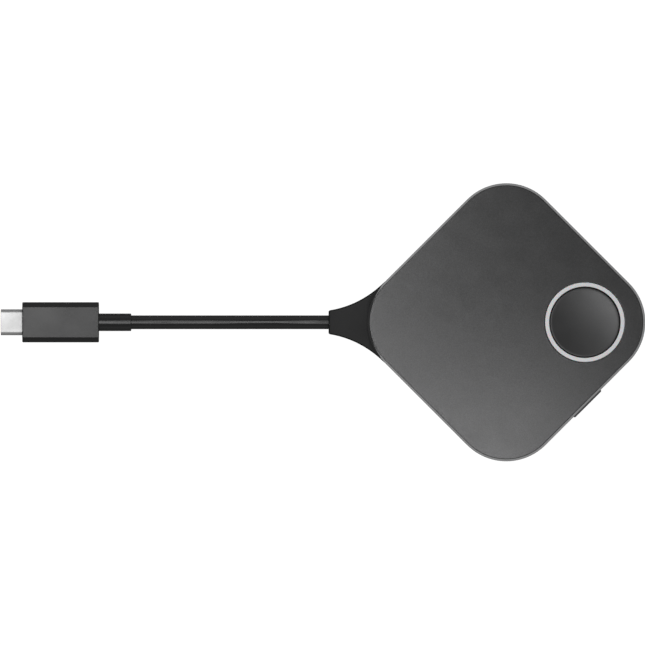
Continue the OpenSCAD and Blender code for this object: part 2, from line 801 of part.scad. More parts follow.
// Moulded housing of the plug, with its seat for the shell and the chamber of its board
module plug_housing() color("#57585a") translate([shell_x, 0, plug_z]) difference() {
  union() {
    along_x(plug_len) plug_section(plug_edge);
    translate([plug_edge, 0, 0]) along_x(plug_len - 2 * plug_edge) plug_section(0);
  }
  translate([-over, 0, 0]) along_x(shell_in + over)
    stadium(shell_w + 2 * shell_seat, shell_h + 2 * shell_seat);
  translate([shell_in, -chamber_w / 2, -chamber_h / 2]) cube([chamber_l, chamber_w, chamber_h]);
}

// Metal shell of the plug: a seamless tube with full round sides
module plug_shell() color("#dcdcde") translate([shell_x - shell_len, 0, plug_z]) along_x(shell_len + shell_in)
  difference() {
    stadium(shell_w, shell_h);
    stadium(shell_w - 2 * shell_t, shell_h - 2 * shell_t);
  }

// Plastic core of the plug with the slot for the mating tongue
module plug_insert() color("#1b1b1c") translate([shell_x - shell_len, 0, plug_z]) difference() {
  translate([insert_setback, 0, 0]) along_x(shell_len + insert_back - insert_setback)
    stadium(shell_w - 2 * shell_t - 2 * shell_seat, shell_h - 2 * shell_t - 2 * shell_seat);
  translate([0, -mouth_w / 2, -mouth_h / 2]) cube([mouth_depth, mouth_w, mouth_h]);
}

// Two rows of spring contacts on the slot's upper and lower faces
module plug_contacts() color("#d9b25a") translate([shell_x - shell_len + contact_setback, 0, plug_z])
  for (k = [0:contact_count - 1], s = [-1, 1])
    translate([0, (k - (contact_count - 1) / 2) * contact_pitch - contact_w / 2,
      s * (mouth_h - contact_t) / 2 - contact_t / 2])
      cube([contact_l, contact_w, contact_t]);

// Two side springs that hold the mating tongue
module plug_latches() color("#c7c9cc") translate([shell_x - shell_len + contact_setback, 0, plug_z])
  for (s = [-1, 1]) translate([0, s * (mouth_w - latch_w) / 2 - latch_w / 2, -latch_h / 2])
    cube([latch_l, latch_w, latch_h]);

// Small board inside the plug, soldered to the back of the core
module plug_board() color("#1f5a3a") translate([shell_x + insert_back, 0, plug_z - plug_board_t / 2])
  translate([0, -plug_board_w / 2, 0]) cube([plug_board_l, plug_board_w, plug_board_t]);

top_cover();
top_plate();
plate_film();
light_ring();
present_button();
pair_key();
bottom_cover();
feet();
case_screws();
cable_neck();
cord_jacket();
cable_tail();
cable_ferrule();
cable_clamp();
clamp_screws();
cable_wires();
cable_header();
main_board();
processor();
memory_chips();
thermal_pad();
heat_spreader();
power_coils();
wireless_board();
wireless_shield();
antennas();
light_baffle();
status_leds();
main_switch_body();
main_switch_plunger();
side_switch_body();
side_switch_plunger();
plug_relief();
plug_housing();
plug_shell();
plug_insert();
plug_contacts();
plug_latches();
plug_board();
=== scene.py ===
"""Wireless presentation dongle: a rounded square puck on one corner, its button, key, neck, cord and plug.

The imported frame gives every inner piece. The pieces that show are modelled here in its place, in metres,
and every piece gets a procedural finish.
"""

import logging
import math
from collections.abc import Callable, Iterable, Sequence
from dataclasses import dataclass
from enum import Enum

import bpy
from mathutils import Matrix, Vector


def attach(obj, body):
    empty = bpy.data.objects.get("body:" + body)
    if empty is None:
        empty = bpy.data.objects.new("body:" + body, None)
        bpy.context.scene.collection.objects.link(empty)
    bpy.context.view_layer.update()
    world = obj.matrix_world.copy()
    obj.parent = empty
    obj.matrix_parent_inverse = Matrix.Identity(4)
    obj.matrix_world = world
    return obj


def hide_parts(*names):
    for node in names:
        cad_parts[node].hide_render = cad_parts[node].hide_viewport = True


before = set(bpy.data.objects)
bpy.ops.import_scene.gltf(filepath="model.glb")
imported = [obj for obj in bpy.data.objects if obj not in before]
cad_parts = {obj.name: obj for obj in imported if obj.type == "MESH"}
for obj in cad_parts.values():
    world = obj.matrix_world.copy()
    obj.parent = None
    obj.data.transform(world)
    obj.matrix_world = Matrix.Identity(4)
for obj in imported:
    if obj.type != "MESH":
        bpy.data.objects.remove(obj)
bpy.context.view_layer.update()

MM = 0.001
HAIR = 0.01 * MM
NEAR = 5 * HAIR
WELD = 0.001 * MM
BUTTON_X = 24.987 * MM
EIGHTH_TURN = math.pi / 4
HARD_ANGLE = 32.0
FLAT_ANGLE = 0.5
LEAN = 0.5
STRAIGHT = 0.9
HOUSING = "housing"
BUTTON = "button"
KEY = "key"
LOG = logging.getLogger("dongle")

# Steps of rounded edges, of a profile's arcs and of whole turns
FINE_STEPS = 2
EDGE_STEPS = 4
ARC_STEPS = 6
DISH_STEPS = 20
SMALL_TURN = 64
WHOLE_TURN = 128

Colour = tuple[float, float, float]
Pair = tuple[float, float]
Point = tuple[float, float, float]
Test = Callable[[Vector, Vector], bool]
Piece = bpy.types.Object
Socket = bpy.types.NodeSocket
Inputs = dict[str | int, object]


class Kind(Enum):
    """What a selection in edit mode is made of."""

    VERTEX = "VERT"
    EDGE = "EDGE"
    FACE = "FACE"


class Axis(Enum):
    """Axis that a turned piece is spun about."""

    X = (1.0, 0.0, 0.0)
    Z = (0.0, 0.0, 1.0)


class Effect(Enum):
    """Surface effects that more than one finish uses."""

    GRAIN = "fine_grain"
    TONE = "uneven_tone"
    SPECKLE = "metallic_speckle"
    HANDLING = "handling_marks"
    WEAR = "edge_wear"
    DUST = "settled_dust"
    # Painted shade: darkens the colour of steep faces, the sides that take less light, and roughens them
    FLANKS = "steep_faces"


# Bench: how pieces are started, selected, shaped and finished


def link(piece: Piece) -> Piece:
    """Puts a new object into the scene."""
    bpy.context.scene.collection.objects.link(piece)
    return piece


def clear_bench() -> None:
    """Leaves edit mode and deselects everything."""
    if bpy.context.mode != "OBJECT":
        bpy.ops.object.mode_set(mode="OBJECT")
    bpy.ops.object.select_all(action="DESELECT")


def take(piece: Piece) -> None:
    """Makes one piece the only selected and active one.

    Args:
        piece: The piece.
    """
    clear_bench()
    piece.select_set(True)
    bpy.context.view_layer.objects.active = piece


def named(name: str) -> Piece:
    """Names the piece that was just added and puts its place into its mesh.

    Args:
        name: Its name, also of its mesh.

    Returns:
        The piece.
    """
    piece = bpy.context.active_object
    piece.name = name
    piece.data.name = name
    bpy.ops.object.transform_apply(location=True, rotation=True, scale=True)
    return piece


def edit(piece: Piece) -> None:
    """Opens a piece in edit mode with all of it selected.

    Args:
        piece: The piece.
    """
    take(piece)
    bpy.ops.object.mode_set(mode="EDIT")
    bpy.ops.mesh.select_mode(type=Kind.VERTEX.value)
    bpy.ops.mesh.select_all(action="SELECT")


def pick(piece: Piece, kind: Kind, test: Test) -> None:
    """Selects the parts of a piece that pass a test, and stays in edit mode.

    Args:
        piece: The piece to select on.
        kind: Vertices, edges or faces.
        test: Gets the place and the direction: a face's or vertex's normal, or an edge's run.
    """
    take(piece)
    bpy.ops.object.mode_set(mode="EDIT")
    bpy.ops.mesh.select_mode(type=kind.value)
    bpy.ops.mesh.select_all(action="DESELECT")
    bpy.ops.object.mode_set(mode="OBJECT")
    mesh = piece.data
    if kind is Kind.FACE:
        for face in mesh.polygons:
            face.select = test(face.center, face.normal)
    elif kind is Kind.EDGE:
        for line in mesh.edges:
            a, b = (mesh.vertices[i].co for i in line.vertices)
            line.select = test((a + b) / 2, (b - a).normalized())
    else:
        for vertex in mesh.vertices:
            vertex.select = test(vertex.co, vertex.normal)
    bpy.ops.object.mode_set(mode="EDIT")


def push(offset: Sequence[float]) -> None:
    """Extrudes the selection by an offset."""
    bpy.ops.mesh.extrude_region_move(TRANSFORM_OT_translate={"value": tuple(offset)})


def stretch(factors: Sequence[float], centre: Sequence[float]) -> None:
    """Scales the selection about a point."""
    bpy.ops.transform.resize(value=tuple(factors), center_override=tuple(centre))


def turn(angle: float) -> None:
    """Turns the selection anticlockwise about Z; without a window the operator turns the other way."""
    bpy.ops.transform.rotate(value=-angle, orient_axis="Z", center_override=(0.0, 0.0, 0.0))


def turn_piece(piece: Piece, angle: float) -> Piece:
    """Turns the whole of a piece anticlockwise about Z.

    Args:
        piece: The piece.
        angle: The turn, in radians.

    Returns:
        The same piece.
    """
    edit(piece)
    turn(angle)
    clear_bench()
    return piece


def round_edges(piece: Piece, test: Test, width: float, segments: int) -> Piece:
    """Rounds the edges of a piece that pass a test.

    Args:
        piece: The piece.
        test: Gets an edge's middle and its run.
        width: Width of the rounding.
        segments: Its steps.

    Returns:
        The same piece.
    """
    pick(piece, Kind.EDGE, test)
    bpy.ops.mesh.bevel(
        affect="EDGES",
        offset_type="OFFSET",
        offset=width,
        segments=segments,
        profile=0.5,
        clamp_overlap=False,
    )
    clear_bench()
    return piece


def edges_at(level: float, near: Callable[[Vector], bool]) -> Test:
    """The test for edges that lie in a level and whose middle passes a test of its own."""
    return lambda at, run: abs(at.z - level) < HAIR and abs(run.z) < LEAN and near(at)


def edges_across(*places: float) -> Test:
    """The test for edges that lie across X at one of some places along it."""
    return lambda at, run: abs(run.x) < LEAN and min(abs(at.x - x) for x in places) < HAIR


def modify(piece: Piece, kind: str, **settings: object) -> None:
    """Adds a modifier with its settings and applies it.

    Args:
        piece: The piece.
        kind: The modifier's type.
        settings: Its properties.
    """
    take(piece)
    modifier = piece.modifiers.new(kind.lower(), kind)
    for name, value in settings.items():
        setattr(modifier, name, value)
    bpy.ops.object.modifier_apply(modifier=modifier.name)


def combine(piece: Piece, other: Piece, operation: str) -> None:
    """Cuts another solid from a piece, or joins it on, and removes the other."""
    modify(piece, "BOOLEAN", object=other, operation=operation, solver="EXACT")
    bpy.data.objects.remove(other)


def cut(piece: Piece, *tools: Piece) -> Piece:
    """Cuts each tool from a piece.

    Args:
        piece: The piece.
        tools: The cutters, which are used up.

    Returns:
        The same piece.
    """
    for tool in tools:
        combine(piece, tool, "DIFFERENCE")
    return piece


def weld(piece: Piece, *others: Piece) -> None:
    """Joins each other solid on a piece."""
    for other in others:
        combine(piece, other, "UNION")


def finish_mesh(piece: Piece, angle: float = HARD_ANGLE) -> Piece:
    """Merges doubles, points the faces outwards and smooths all but the hard edges.

    Args:
        piece: The piece to finish.
        angle: Edges sharper than this, in degrees, stay hard.

    Returns:
        The same piece.
    """
    edit(piece)
    bpy.ops.mesh.remove_doubles(threshold=WELD)
    bpy.ops.mesh.normals_make_consistent(inside=False)
    return smooth(piece, angle)


def smooth(piece: Piece, angle: float = HARD_ANGLE) -> Piece:
    """Smooths all but the hard edges, and keeps flat faces flat beside their rounded edges.

    Args:
        piece: The piece.
        angle: Edges sharper than this, in degrees, stay hard.

    Returns:
        The same piece.
    """
    take(piece)
    bpy.ops.object.shade_smooth_by_angle(angle=math.radians(angle))
    modify(piece, "WEIGHTED_NORMAL", keep_sharp=True, weight=100)
    return piece


def box(name: str, low: Sequence[float], high: Sequence[float]) -> Piece:
    """A block between two corners.

    Args:
        name: Name of the piece.
        low: Its lowest corner.
        high: Its highest corner.

    Returns:
        The block.
    """
    clear_bench()
    bpy.ops.mesh.primitive_cube_add(size=1.0, location=[(a + b) / 2 for a, b in zip(low, high)])
    bpy.context.active_object.scale = [b - a for a, b in zip(low, high)]
    return named(name)


def beam(name: str, start: float, end: float, section: Pair, level: float) -> Piece:
    """A block along X whose section, width and height, is centred on a level."""
    half, rise = section[0] / 2, section[1] / 2
    return box(name, (start, -half, level - rise), (end, half, level + rise))


def rod(name: str, radius: float, start: Point, length: float, axis: Axis, sides: int) -> Piece:
    """A round bar from a start point along an axis.

    Args:
        name: Name of the piece.
        radius: Its radius.
        start: Middle of its first end.
        length: Its length.
        axis: The way it points.
        sides: Its flat sides.

    Returns:
        The bar.
    """
    clear_bench()
    along = Vector(axis.value)
    bpy.ops.mesh.primitive_cylinder_add(
        vertices=sides,
        radius=radius,
        depth=length,
        location=Vector(start) + along * length / 2,
        rotation=(0.0, math.pi / 2, 0.0) if axis is Axis.X else (0.0, 0.0, 0.0),
    )
    return named(name)


def stadium(name: str, width: float, height: float, start: Point, length: float, segments: int = 12) -> Piece:
    """A bar along X whose section has full round ends, width along Y and height along Z.

    Args:
        name: Name of the piece.
        width: Width of the section.
        height: Height of the section.
        start: Middle of its first end.
        length: Its length.
        segments: Steps of each rounded corner.

    Returns:
        The bar.
    """
    clear_bench()
    bpy.ops.mesh.primitive_plane_add(size=1.0, location=start, rotation=(0.0, math.pi / 2, 0.0))
    bpy.context.active_object.scale = (height, width, 1.0)
    piece = named(name)
    edit(piece)
    bpy.ops.mesh.bevel(affect="VERTICES", offset=height / 2 - HAIR, segments=segments, profile=0.5)
    bpy.ops.mesh.select_all(action="SELECT")
    push((length, 0.0, 0.0))
    clear_bench()
    return finish_mesh(piece)


def turned(name: str, profile: Sequence[Pair], axis: Axis, centre: Point, steps: int) -> Piece:
    """A turned solid.

    Args:
        name: Name of the piece.
        profile: Radius and place along the axis of each point, from the foot to the top.
        axis: Axis of the lathe.
        centre: Point on the axis that the profile's places are measured from.
        steps: Steps of the whole turn.

    Returns:
        The spun and closed piece.
    """
    clear_bench()

    def place(point: Pair) -> Vector:
        """A point of the profile in space."""
        offset = (point[1], 0.0, point[0]) if axis is Axis.X else (point[0], 0.0, point[1])
        return Vector(centre) + Vector(offset)

    bpy.ops.mesh.primitive_plane_add(size=MM, location=place(profile[0]))
    piece = named(name)
    edit(piece)
    bpy.ops.mesh.merge(type="CENTER")
    for before, after in zip(profile, profile[1:]):
        push(place(after) - place(before))
    bpy.ops.mesh.select_all(action="SELECT")
    bpy.ops.mesh.spin(steps=steps, angle=math.tau, center=centre, axis=axis.value)
    clear_bench()
    return finish_mesh(piece)


def arc(centre: Pair, radius: float, start: float, end: float, count: int) -> list[Pair]:
    """Points of an arc of a profile, angles in degrees from the radial direction."""
    angles = (math.radians(start + (end - start) * k / count) for k in range(count + 1))
    return [(centre[0] + radius * math.cos(a), centre[1] + radius * math.sin(a)) for a in angles]


def polished_copy(node: str) -> Piece:
    """Copies a frame node, merges its loose triangles and smooths it, to stand in its place.

    Args:
        node: Name of the frame node.

    Returns:
        The copy, which replaces the node.
    """
    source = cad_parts[node]
    piece = link(bpy.data.objects.new(node + "_moulded", source.data.copy()))
    edit(piece)
    bpy.ops.mesh.remove_doubles(threshold=WELD)
    bpy.ops.mesh.dissolve_limited(angle_limit=math.radians(FLAT_ANGLE))
    smooth(piece)
    piece.data.materials.clear()
    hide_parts(node)
    return piece


# Finishes: shared effects, then one small class or instance for each surface


class Tree:
    """A node tree with short calls to add and join nodes."""

    def __init__(self, tree: bpy.types.NodeTree) -> None:
        """Keeps the tree."""
        self.tree = tree

    def feed(self, node: bpy.types.Node, inputs: Inputs) -> bpy.types.Node:
        """Gives a node's inputs, by name or number, their values or links.

        Args:
            node: The node.
            inputs: Values or sockets, by name or number.

        Returns:
            The same node.
        """
        for name, value in inputs.items():
            if isinstance(value, bpy.types.NodeSocket):
                self.tree.links.new(value, node.inputs[name])
            else:
                node.inputs[name].default_value = value
        return node

    def add(self, kind: str, inputs: Inputs | None = None, **settings: object) -> bpy.types.Node:
        """Adds a node.

        Args:
            kind: The node's type, without its ShaderNode prefix.
            inputs: Values or sockets for its inputs, by name or number.
            settings: Its properties.

        Returns:
            The new node.
        """
        node = self.tree.nodes.new("ShaderNode" + kind)
        for name, value in settings.items():
            setattr(node, name, value)
        return self.feed(node, inputs or {})

    def math(self, operation: str, a: object, b: object = 0.0) -> Socket:
        """Adds an operation on numbers and returns its result."""
        return self.add("Math", {0: a, 1: b}, operation=operation).outputs[0]

    def times(self, a: object, b: object) -> Socket:
        """The product of two numbers."""
        return self.math("MULTIPLY", a, b)

    def plus(self, a: object, b: object) -> Socket:
        """The sum of two numbers."""
        return self.math("ADD", a, b)

    def part(self, vector: Socket, axis: str) -> Socket:
        """One part of a vector."""
        return self.add("SeparateXYZ", {0: vector}).outputs[axis]

    def facing(self) -> Socket:
        """The upward part of the surface's normal."""
        return self.part(self.add("NewGeometry").outputs["Normal"], "Z")

    def scaled(self, colour: object, factor: Socket) -> Socket:
        """Multiplies a colour by a number that changes over the surface."""
        return self.add("VectorMath", {0: colour, "Scale": factor}, operation="SCALE").outputs[0]

    def span(self, value: Socket, low: float, high: float, to_low: object, to_high: object) -> Socket:
        """Maps a value from one range to another, clamped."""
        inputs = {"Value": value, "From Min": low, "From Max": high, "To Min": to_low, "To Max": to_high}
        return self.add("MapRange", inputs).outputs[0]

    def mix(self, factor: object, a: object, b: object) -> Socket:
        """Mixes two colours."""
        return self.add("Mix", {0: factor, 6: a, 7: b}, data_type="RGBA").outputs[2]

    def noise(self, vector: Socket, scale: object, detail: float = 2.0, roughness: float = 0.5) -> Socket:
        """Adds a noise and returns its value."""
        inputs = {"Vector": vector, "Scale": scale, "Detail": detail, "Roughness": roughness}
        return self.add("TexNoise", inputs).outputs[0]


def blank_tree(owner: bpy.types.Material | bpy.types.World) -> Tree:
    """The emptied node tree of a material or a world.

    Args:
        owner: The material or world.

    Returns:
        Its tree.
    """
    owner.use_nodes = True
    owner.node_tree.nodes.clear()
    return Tree(owner.node_tree)


# Scales of the effects' textures, per metre, their noises' detail and roughness, and the limits that
# their masks run between
TONE_SCALE = 45.0
HANDLING_SCALE = 130.0
WEAR_SCALE = 900.0
DUST_SCALE = 5200.0
GRAIN_NOISE = (3.0, 0.65)
GRAIN_SHARES = (0.7, 0.3)
SMEAR_NOISE = (4.0, 0.6)
PATCH_NOISE = (3.0, 0.6)
SPECK_NOISE = (2.0, 0.7)
CLOUD_NOISE = (3.0, 0.55)
GRIT_NOISE = (1.0, 0.5)
WEAR_RADIUS = 0.12 * MM
LEVEL_FACE = (0.88, 0.985)
ROUND_EDGE = (0.86, 0.985)
UPPER_FACE = (0.5, 1.0)
SMEARS = (0.35, 0.7)
PATCHES = (0.3, 0.6)
PATCH_LOW = 0.4
SPECKS = (0.62, 0.78)
CLOUDS = (0.3, 0.7)
GRIT = (0.25, 0.75)
PAD_EDGE = (0.1, 0.13)
DUST_COLOUR = (0.42, 0.41, 0.4)
DUST_ROUGHNESS = 0.3
# Painted shade: steep faces keep this share of their colour
PAINTED_FLANK_SHADE = 0.25
FLANK_ROUGHNESS = 0.5
SCATTER = 0.6 * MM

SocketKinds = dict[str, str]
TINT = ({"Vector": "Vector", "Colour": "Color", "Amount": "Float", "Scale": "Float"}, {"Colour": "Color"})
EFFECT_SOCKETS: dict[Effect, tuple[SocketKinds, SocketKinds]] = {
    Effect.GRAIN: ({"Vector": "Vector", "Scale": "Float"}, {"Height": "Float"}),
    Effect.TONE: TINT,
    Effect.SPECKLE: TINT,
    Effect.HANDLING: (
        {"Vector": "Vector", "Roughness": "Float", "Amount": "Float", "Scale": "Float"},
        {"Roughness": "Float"},
    ),
    Effect.WEAR: (
        {"Vector": "Vector", "Colour": "Color", "Worn": "Color", "Amount": "Float"},
        {"Colour": "Color"},
    ),
    Effect.DUST: ({"Vector": "Vector", "Amount": "Float"}, {"Mask": "Float"}),
    Effect.FLANKS: ({"Amount": "Float"}, {"Mask": "Float"}),
}


def fill_effect(effect: Effect, nodes: Tree, given: bpy.types.Node) -> dict[str, Socket]:
    """Builds the inside of a shared effect.

    Args:
        effect: Which effect.
        nodes: The group's tree.
        given: Its input node.

    Returns:
        The socket for each of its outputs.
    """
    value = {socket.name: socket for socket in given.outputs if socket.name}
    # Painted shade: a mask of the steep faces, by how little their normal points up
    if effect is Effect.FLANKS:
        steep = nodes.span(nodes.math("ABSOLUTE", nodes.facing()), *LEVEL_FACE, 1.0, 0.0)
        return {"Mask": nodes.times(steep, value["Amount"])}
    vector = value["Vector"]
    if effect is Effect.GRAIN:
        fine = nodes.noise(vector, value["Scale"], *GRAIN_NOISE)
        cells = nodes.add("TexVoronoi", {"Vector": vector, "Scale": value["Scale"]}).outputs[0]
        fine, cells = (nodes.times(part, share) for part, share in zip((fine, cells), GRAIN_SHARES))
        return {"Height": nodes.plus(fine, cells)}
    if effect is Effect.HANDLING:
        smear = nodes.noise(vector, value["Scale"], *SMEAR_NOISE)
        change = nodes.span(smear, *SMEARS, 0.0, value["Amount"])
        return {"Roughness": nodes.plus(value["Roughness"], change)}
    if effect is Effect.WEAR:
        rounded = nodes.add("Bevel", {"Radius": WEAR_RADIUS}, samples=4).outputs[0]
        sharp = nodes.add("NewGeometry").outputs["Normal"]
        edge = nodes.add("VectorMath", {0: rounded, 1: sharp}, operation="DOT_PRODUCT").outputs["Value"]
        patchy = nodes.span(nodes.noise(vector, WEAR_SCALE, *PATCH_NOISE), *PATCHES, PATCH_LOW, 1.0)
        mask = nodes.times(nodes.span(edge, *ROUND_EDGE, 1.0, 0.0), patchy)
        mask = nodes.times(mask, value["Amount"])
        return {"Colour": nodes.mix(mask, value["Colour"], value["Worn"])}
    if effect is Effect.DUST:
        up = nodes.span(nodes.facing(), *UPPER_FACE, 0.0, 1.0)
        specks = nodes.span(nodes.noise(vector, DUST_SCALE, *SPECK_NOISE), *SPECKS, 0.0, value["Amount"])
        return {"Mask": nodes.times(up, specks)}
    low = nodes.math("SUBTRACT", 1.0, value["Amount"])
    high = nodes.plus(1.0, value["Amount"])
    noise, limits = (CLOUD_NOISE, CLOUDS) if effect is Effect.TONE else (GRIT_NOISE, GRIT)
    shade = nodes.span(nodes.noise(vector, value["Scale"], *noise), *limits, low, high)
    return {"Colour": nodes.scaled(value["Colour"], shade)}


def effect_group(effect: Effect) -> bpy.types.NodeTree:
    """Returns the node group of a shared effect, built the first time.

    Args:
        effect: Which effect.

    Returns:
        Its group, with named inputs and outputs.
    """
    made = bpy.data.node_groups.get(effect.value)
    if made:
        return made
    group = bpy.data.node_groups.new(effect.value, "ShaderNodeTree")
    for side, sockets in zip(("INPUT", "OUTPUT"), EFFECT_SOCKETS[effect]):
        for name, kind in sockets.items():
            group.interface.new_socket(name, in_out=side, socket_type="NodeSocket" + kind)
    nodes = Tree(group)
    results = fill_effect(effect, nodes, group.nodes.new("NodeGroupInput"))
    end = group.nodes.new("NodeGroupOutput")
    for name, socket in results.items():
        group.links.new(socket, end.inputs[name])
    return group


def use_effect(nodes: Tree, effect: Effect, inputs: Inputs) -> Socket:
    """Places a shared effect in a material with its own values, and returns its first result."""
    return nodes.add("Group", inputs, node_tree=effect_group(effect)).outputs[0]


def opaque(colour: Colour) -> tuple[float, float, float, float]:
    """A colour with full alpha."""
    return (*colour, 1.0)


@dataclass(frozen=True)
class Finish:
    """A surface: its slot in the record, its plain colour and gloss, and how strongly each effect shows."""

    slot: str
    colour: Colour
    roughness: float
    metallic: float = 0.0
    specular: float = 0.5
    translucent: float = 0.0
    grain: float = 0.25 * MM
    depth: float = 0.004 * MM
    tone: float = 0.06
    speckle: float = 0.0
    speckle_size: float = 0.16 * MM
    handling: float = 0.06
    wear: float = 0.0
    worn: Colour = (0.2, 0.2, 0.2)
    dust: float = 0.0
    # How strongly steep faces are darkened with painted shade
    flank_painted_shade: float = 0.0

    def field(self, nodes: Tree, vector: Socket) -> object:
        """The colour before the shared effects. A subclass draws its own pattern here."""
        return opaque(self.colour)

    def relief(self, nodes: Tree, vector: Socket) -> Socket:
        """The height of the surface's texture."""
        return use_effect(nodes, Effect.GRAIN, {"Vector": vector, "Scale": 1.0 / self.grain})

    def material(self) -> bpy.types.Material:
        """Returns the finish's material, built the first time.

        Returns:
            The material.
        """
        name = self.slot + "_finish"
        made = bpy.data.materials.get(name)
        if made:
            return made
        made = bpy.data.materials.new(name)
        nodes = blank_tree(made)
        vector = nodes.add("TexCoord").outputs["Object"]
        here = {"Vector": vector, "Colour": self.field(nodes, vector)}
        here["Colour"] = use_effect(nodes, Effect.TONE, {**here, "Amount": self.tone, "Scale": TONE_SCALE})
        smears = {"Roughness": self.roughness, "Amount": self.handling, "Scale": HANDLING_SCALE}
        rough = use_effect(nodes, Effect.HANDLING, {"Vector": vector, **smears})
        if self.speckle:
            grit = {**here, "Amount": self.speckle, "Scale": 1.0 / self.speckle_size}
            here["Colour"] = use_effect(nodes, Effect.SPECKLE, grit)
        if self.wear:
            edges = {**here, "Worn": opaque(self.worn), "Amount": self.wear}
            here["Colour"] = use_effect(nodes, Effect.WEAR, edges)
        colour = here["Colour"]
        if self.dust:
            mask = use_effect(nodes, Effect.DUST, {"Vector": vector, "Amount": self.dust})
            colour = nodes.mix(mask, colour, opaque(DUST_COLOUR))
            rough = nodes.plus(rough, nodes.times(mask, DUST_ROUGHNESS))
        # Painted shade: steep faces get a darker copy of the colour, and a rougher surface
        if self.flank_painted_shade:
            mask = use_effect(nodes, Effect.FLANKS, {"Amount": self.flank_painted_shade})
            colour = nodes.mix(mask, colour, opaque(tuple(PAINTED_FLANK_SHADE * part for part in self.colour)))
            rough = nodes.plus(rough, nodes.times(mask, FLANK_ROUGHNESS))
        bump = {"Height": self.relief(nodes, vector), "Distance": self.depth, "Strength": 1.0}
        shader = nodes.add(
            "BsdfPrincipled",
            {
                "Base Color": colour,
                "Roughness": rough,
                "Metallic": self.metallic,
                "Normal": nodes.add("Bump", bump).outputs[0],
                "Specular IOR Level": self.specular,
                "Subsurface Weight": self.translucent,
                "Subsurface Scale": SCATTER,
            },
        )
        nodes.add("OutputMaterial", {"Surface": shader.outputs[0]})
        return made

    def dress(self, piece: Piece) -> Piece:
        """Gives a piece this finish.

        Args:
            piece: The piece.

        Returns:
            The same piece.
        """
        piece.data.materials.clear()
        piece.data.materials.append(self.material())
        return piece


@dataclass(frozen=True)
class BoardFinish(Finish):
    """Solder mask over copper tracks, with small tinned pads."""

    track: Colour = (0.03, 0.2, 0.09)
    pad: Colour = (0.55, 0.53, 0.48)
    pitch: float = 1.27 * MM

    def field(self, nodes: Tree, vector: Socket) -> object:
        """Tracks from the joints of a brick pattern, and small square pads from a cell pattern.

        Args:
            nodes: The material's tree.
            vector: Object coordinates.

        Returns:
            The colour.
        """
        scale = 1.0 / (6 * self.pitch)
        mask = opaque(self.colour)
        tracks = {"Mortar": opaque(self.track), "Mortar Size": 0.03, "Brick Width": 0.9, "Row Height": 0.22}
        bricks = {"Vector": vector, "Color1": mask, "Color2": mask, "Scale": scale, **tracks}
        laid = nodes.add("TexBrick", bricks).outputs[0]
        grid = {"Vector": vector, "Scale": 3 * scale}
        cells = nodes.add("TexVoronoi", grid, distance="CHEBYCHEV").outputs[0]
        return nodes.mix(nodes.span(cells, *PAD_EDGE, 1.0, 0.0), laid, opaque(self.pad))


@dataclass(frozen=True)
class WireFinish(Finish):
    """Insulation in a colour of its own for each wire, set by its place across the cord."""

    start: float = -4.0 * MM
    end: float = 4.0 * MM
    colours: tuple[Colour, ...] = (
        (0.45, 0.02, 0.02),
        (0.02, 0.02, 0.02),
        (0.02, 0.25, 0.06),
        (0.6, 0.6, 0.58),
        (0.02, 0.06, 0.4),
        (0.5, 0.3, 0.02),
    )

    def field(self, nodes: Tree, vector: Socket) -> object:
        """Bands of colour across the row of wires.

        Args:
            nodes: The material's tree.
            vector: Object coordinates.

        Returns:
            The colour.
        """
        place = nodes.span(nodes.part(vector, "Y"), self.start, self.end, 0.0, 1.0)
        ramp = nodes.add("ValToRGB", {"Fac": place})
        ramp.color_ramp.interpolation = "CONSTANT"
        bands = ramp.color_ramp.elements
        while len(bands) < len(self.colours):
            bands.new(0.5)
        for k, colour in enumerate(self.colours):
            bands[k].position = k / len(self.colours)
            bands[k].color = opaque(colour)
        return ramp.outputs[0]


@dataclass(frozen=True)
class CordFinish(Finish):
    """Extruded jacket with faint rings round it."""

    rings: float = 2600.0
    strands: float = 120.0

    def relief(self, nodes: Tree, vector: Socket) -> Socket:
        """Fine rings along the cord with a little grain."""
        scale = (self.rings, self.strands, self.strands)
        return nodes.noise(nodes.add("Mapping", {"Vector": vector, "Scale": scale}).outputs[0], 1.0)


PLATE = Finish(
    "plate_metal", (0.085, 0.085, 0.0857), 0.3, 0.9, grain=0.11 * MM, depth=0.006 * MM, tone=0.02,
    speckle=0.16, speckle_size=0.2 * MM, handling=0.04, wear=0.5, worn=(0.3, 0.3, 0.3), dust=0.05,
)
# The cover's steep faces carry painted shade, for the dark outer line of its rim
COVER = Finish(
    "cover_paint", (0.195, 0.195, 0.197), 0.42, specular=0.3, grain=0.12 * MM, depth=0.003 * MM,
    speckle=0.08, wear=0.25, worn=(0.24, 0.24, 0.245), flank_painted_shade=0.45,
)
RING = Finish(
    "ring_plastic", (0.55, 0.55, 0.56), 0.45, specular=0.25, translucent=0.25, depth=0.002 * MM,
    tone=0.02, dust=0.1,
)
CAP = Finish(
    "button_plastic", (0.079, 0.079, 0.0797), 0.34, 0.92, grain=0.12 * MM, depth=0.002 * MM,
    speckle=0.06, dust=0.04,
)
KEY_CAP = Finish(
    "key_plastic", (0.09, 0.09, 0.0915), 0.4, specular=0.25, grain=0.12 * MM, depth=0.002 * MM, wear=0.15,
)
BASE = Finish(
    "base_plastic", (0.024, 0.024, 0.025), 0.55, grain=0.35 * MM, depth=0.018 * MM, wear=0.15,
    worn=(0.07, 0.07, 0.07),
)
FOOT = Finish("foot_rubber", (0.03, 0.03, 0.031), 0.8, grain=0.3 * MM, depth=0.01 * MM, tone=0.15, dust=0.2)
SCREW = Finish("screw_steel", (0.42, 0.43, 0.45), 0.3, 1.0, grain=0.2 * MM, depth=0.002 * MM, handling=0.15)
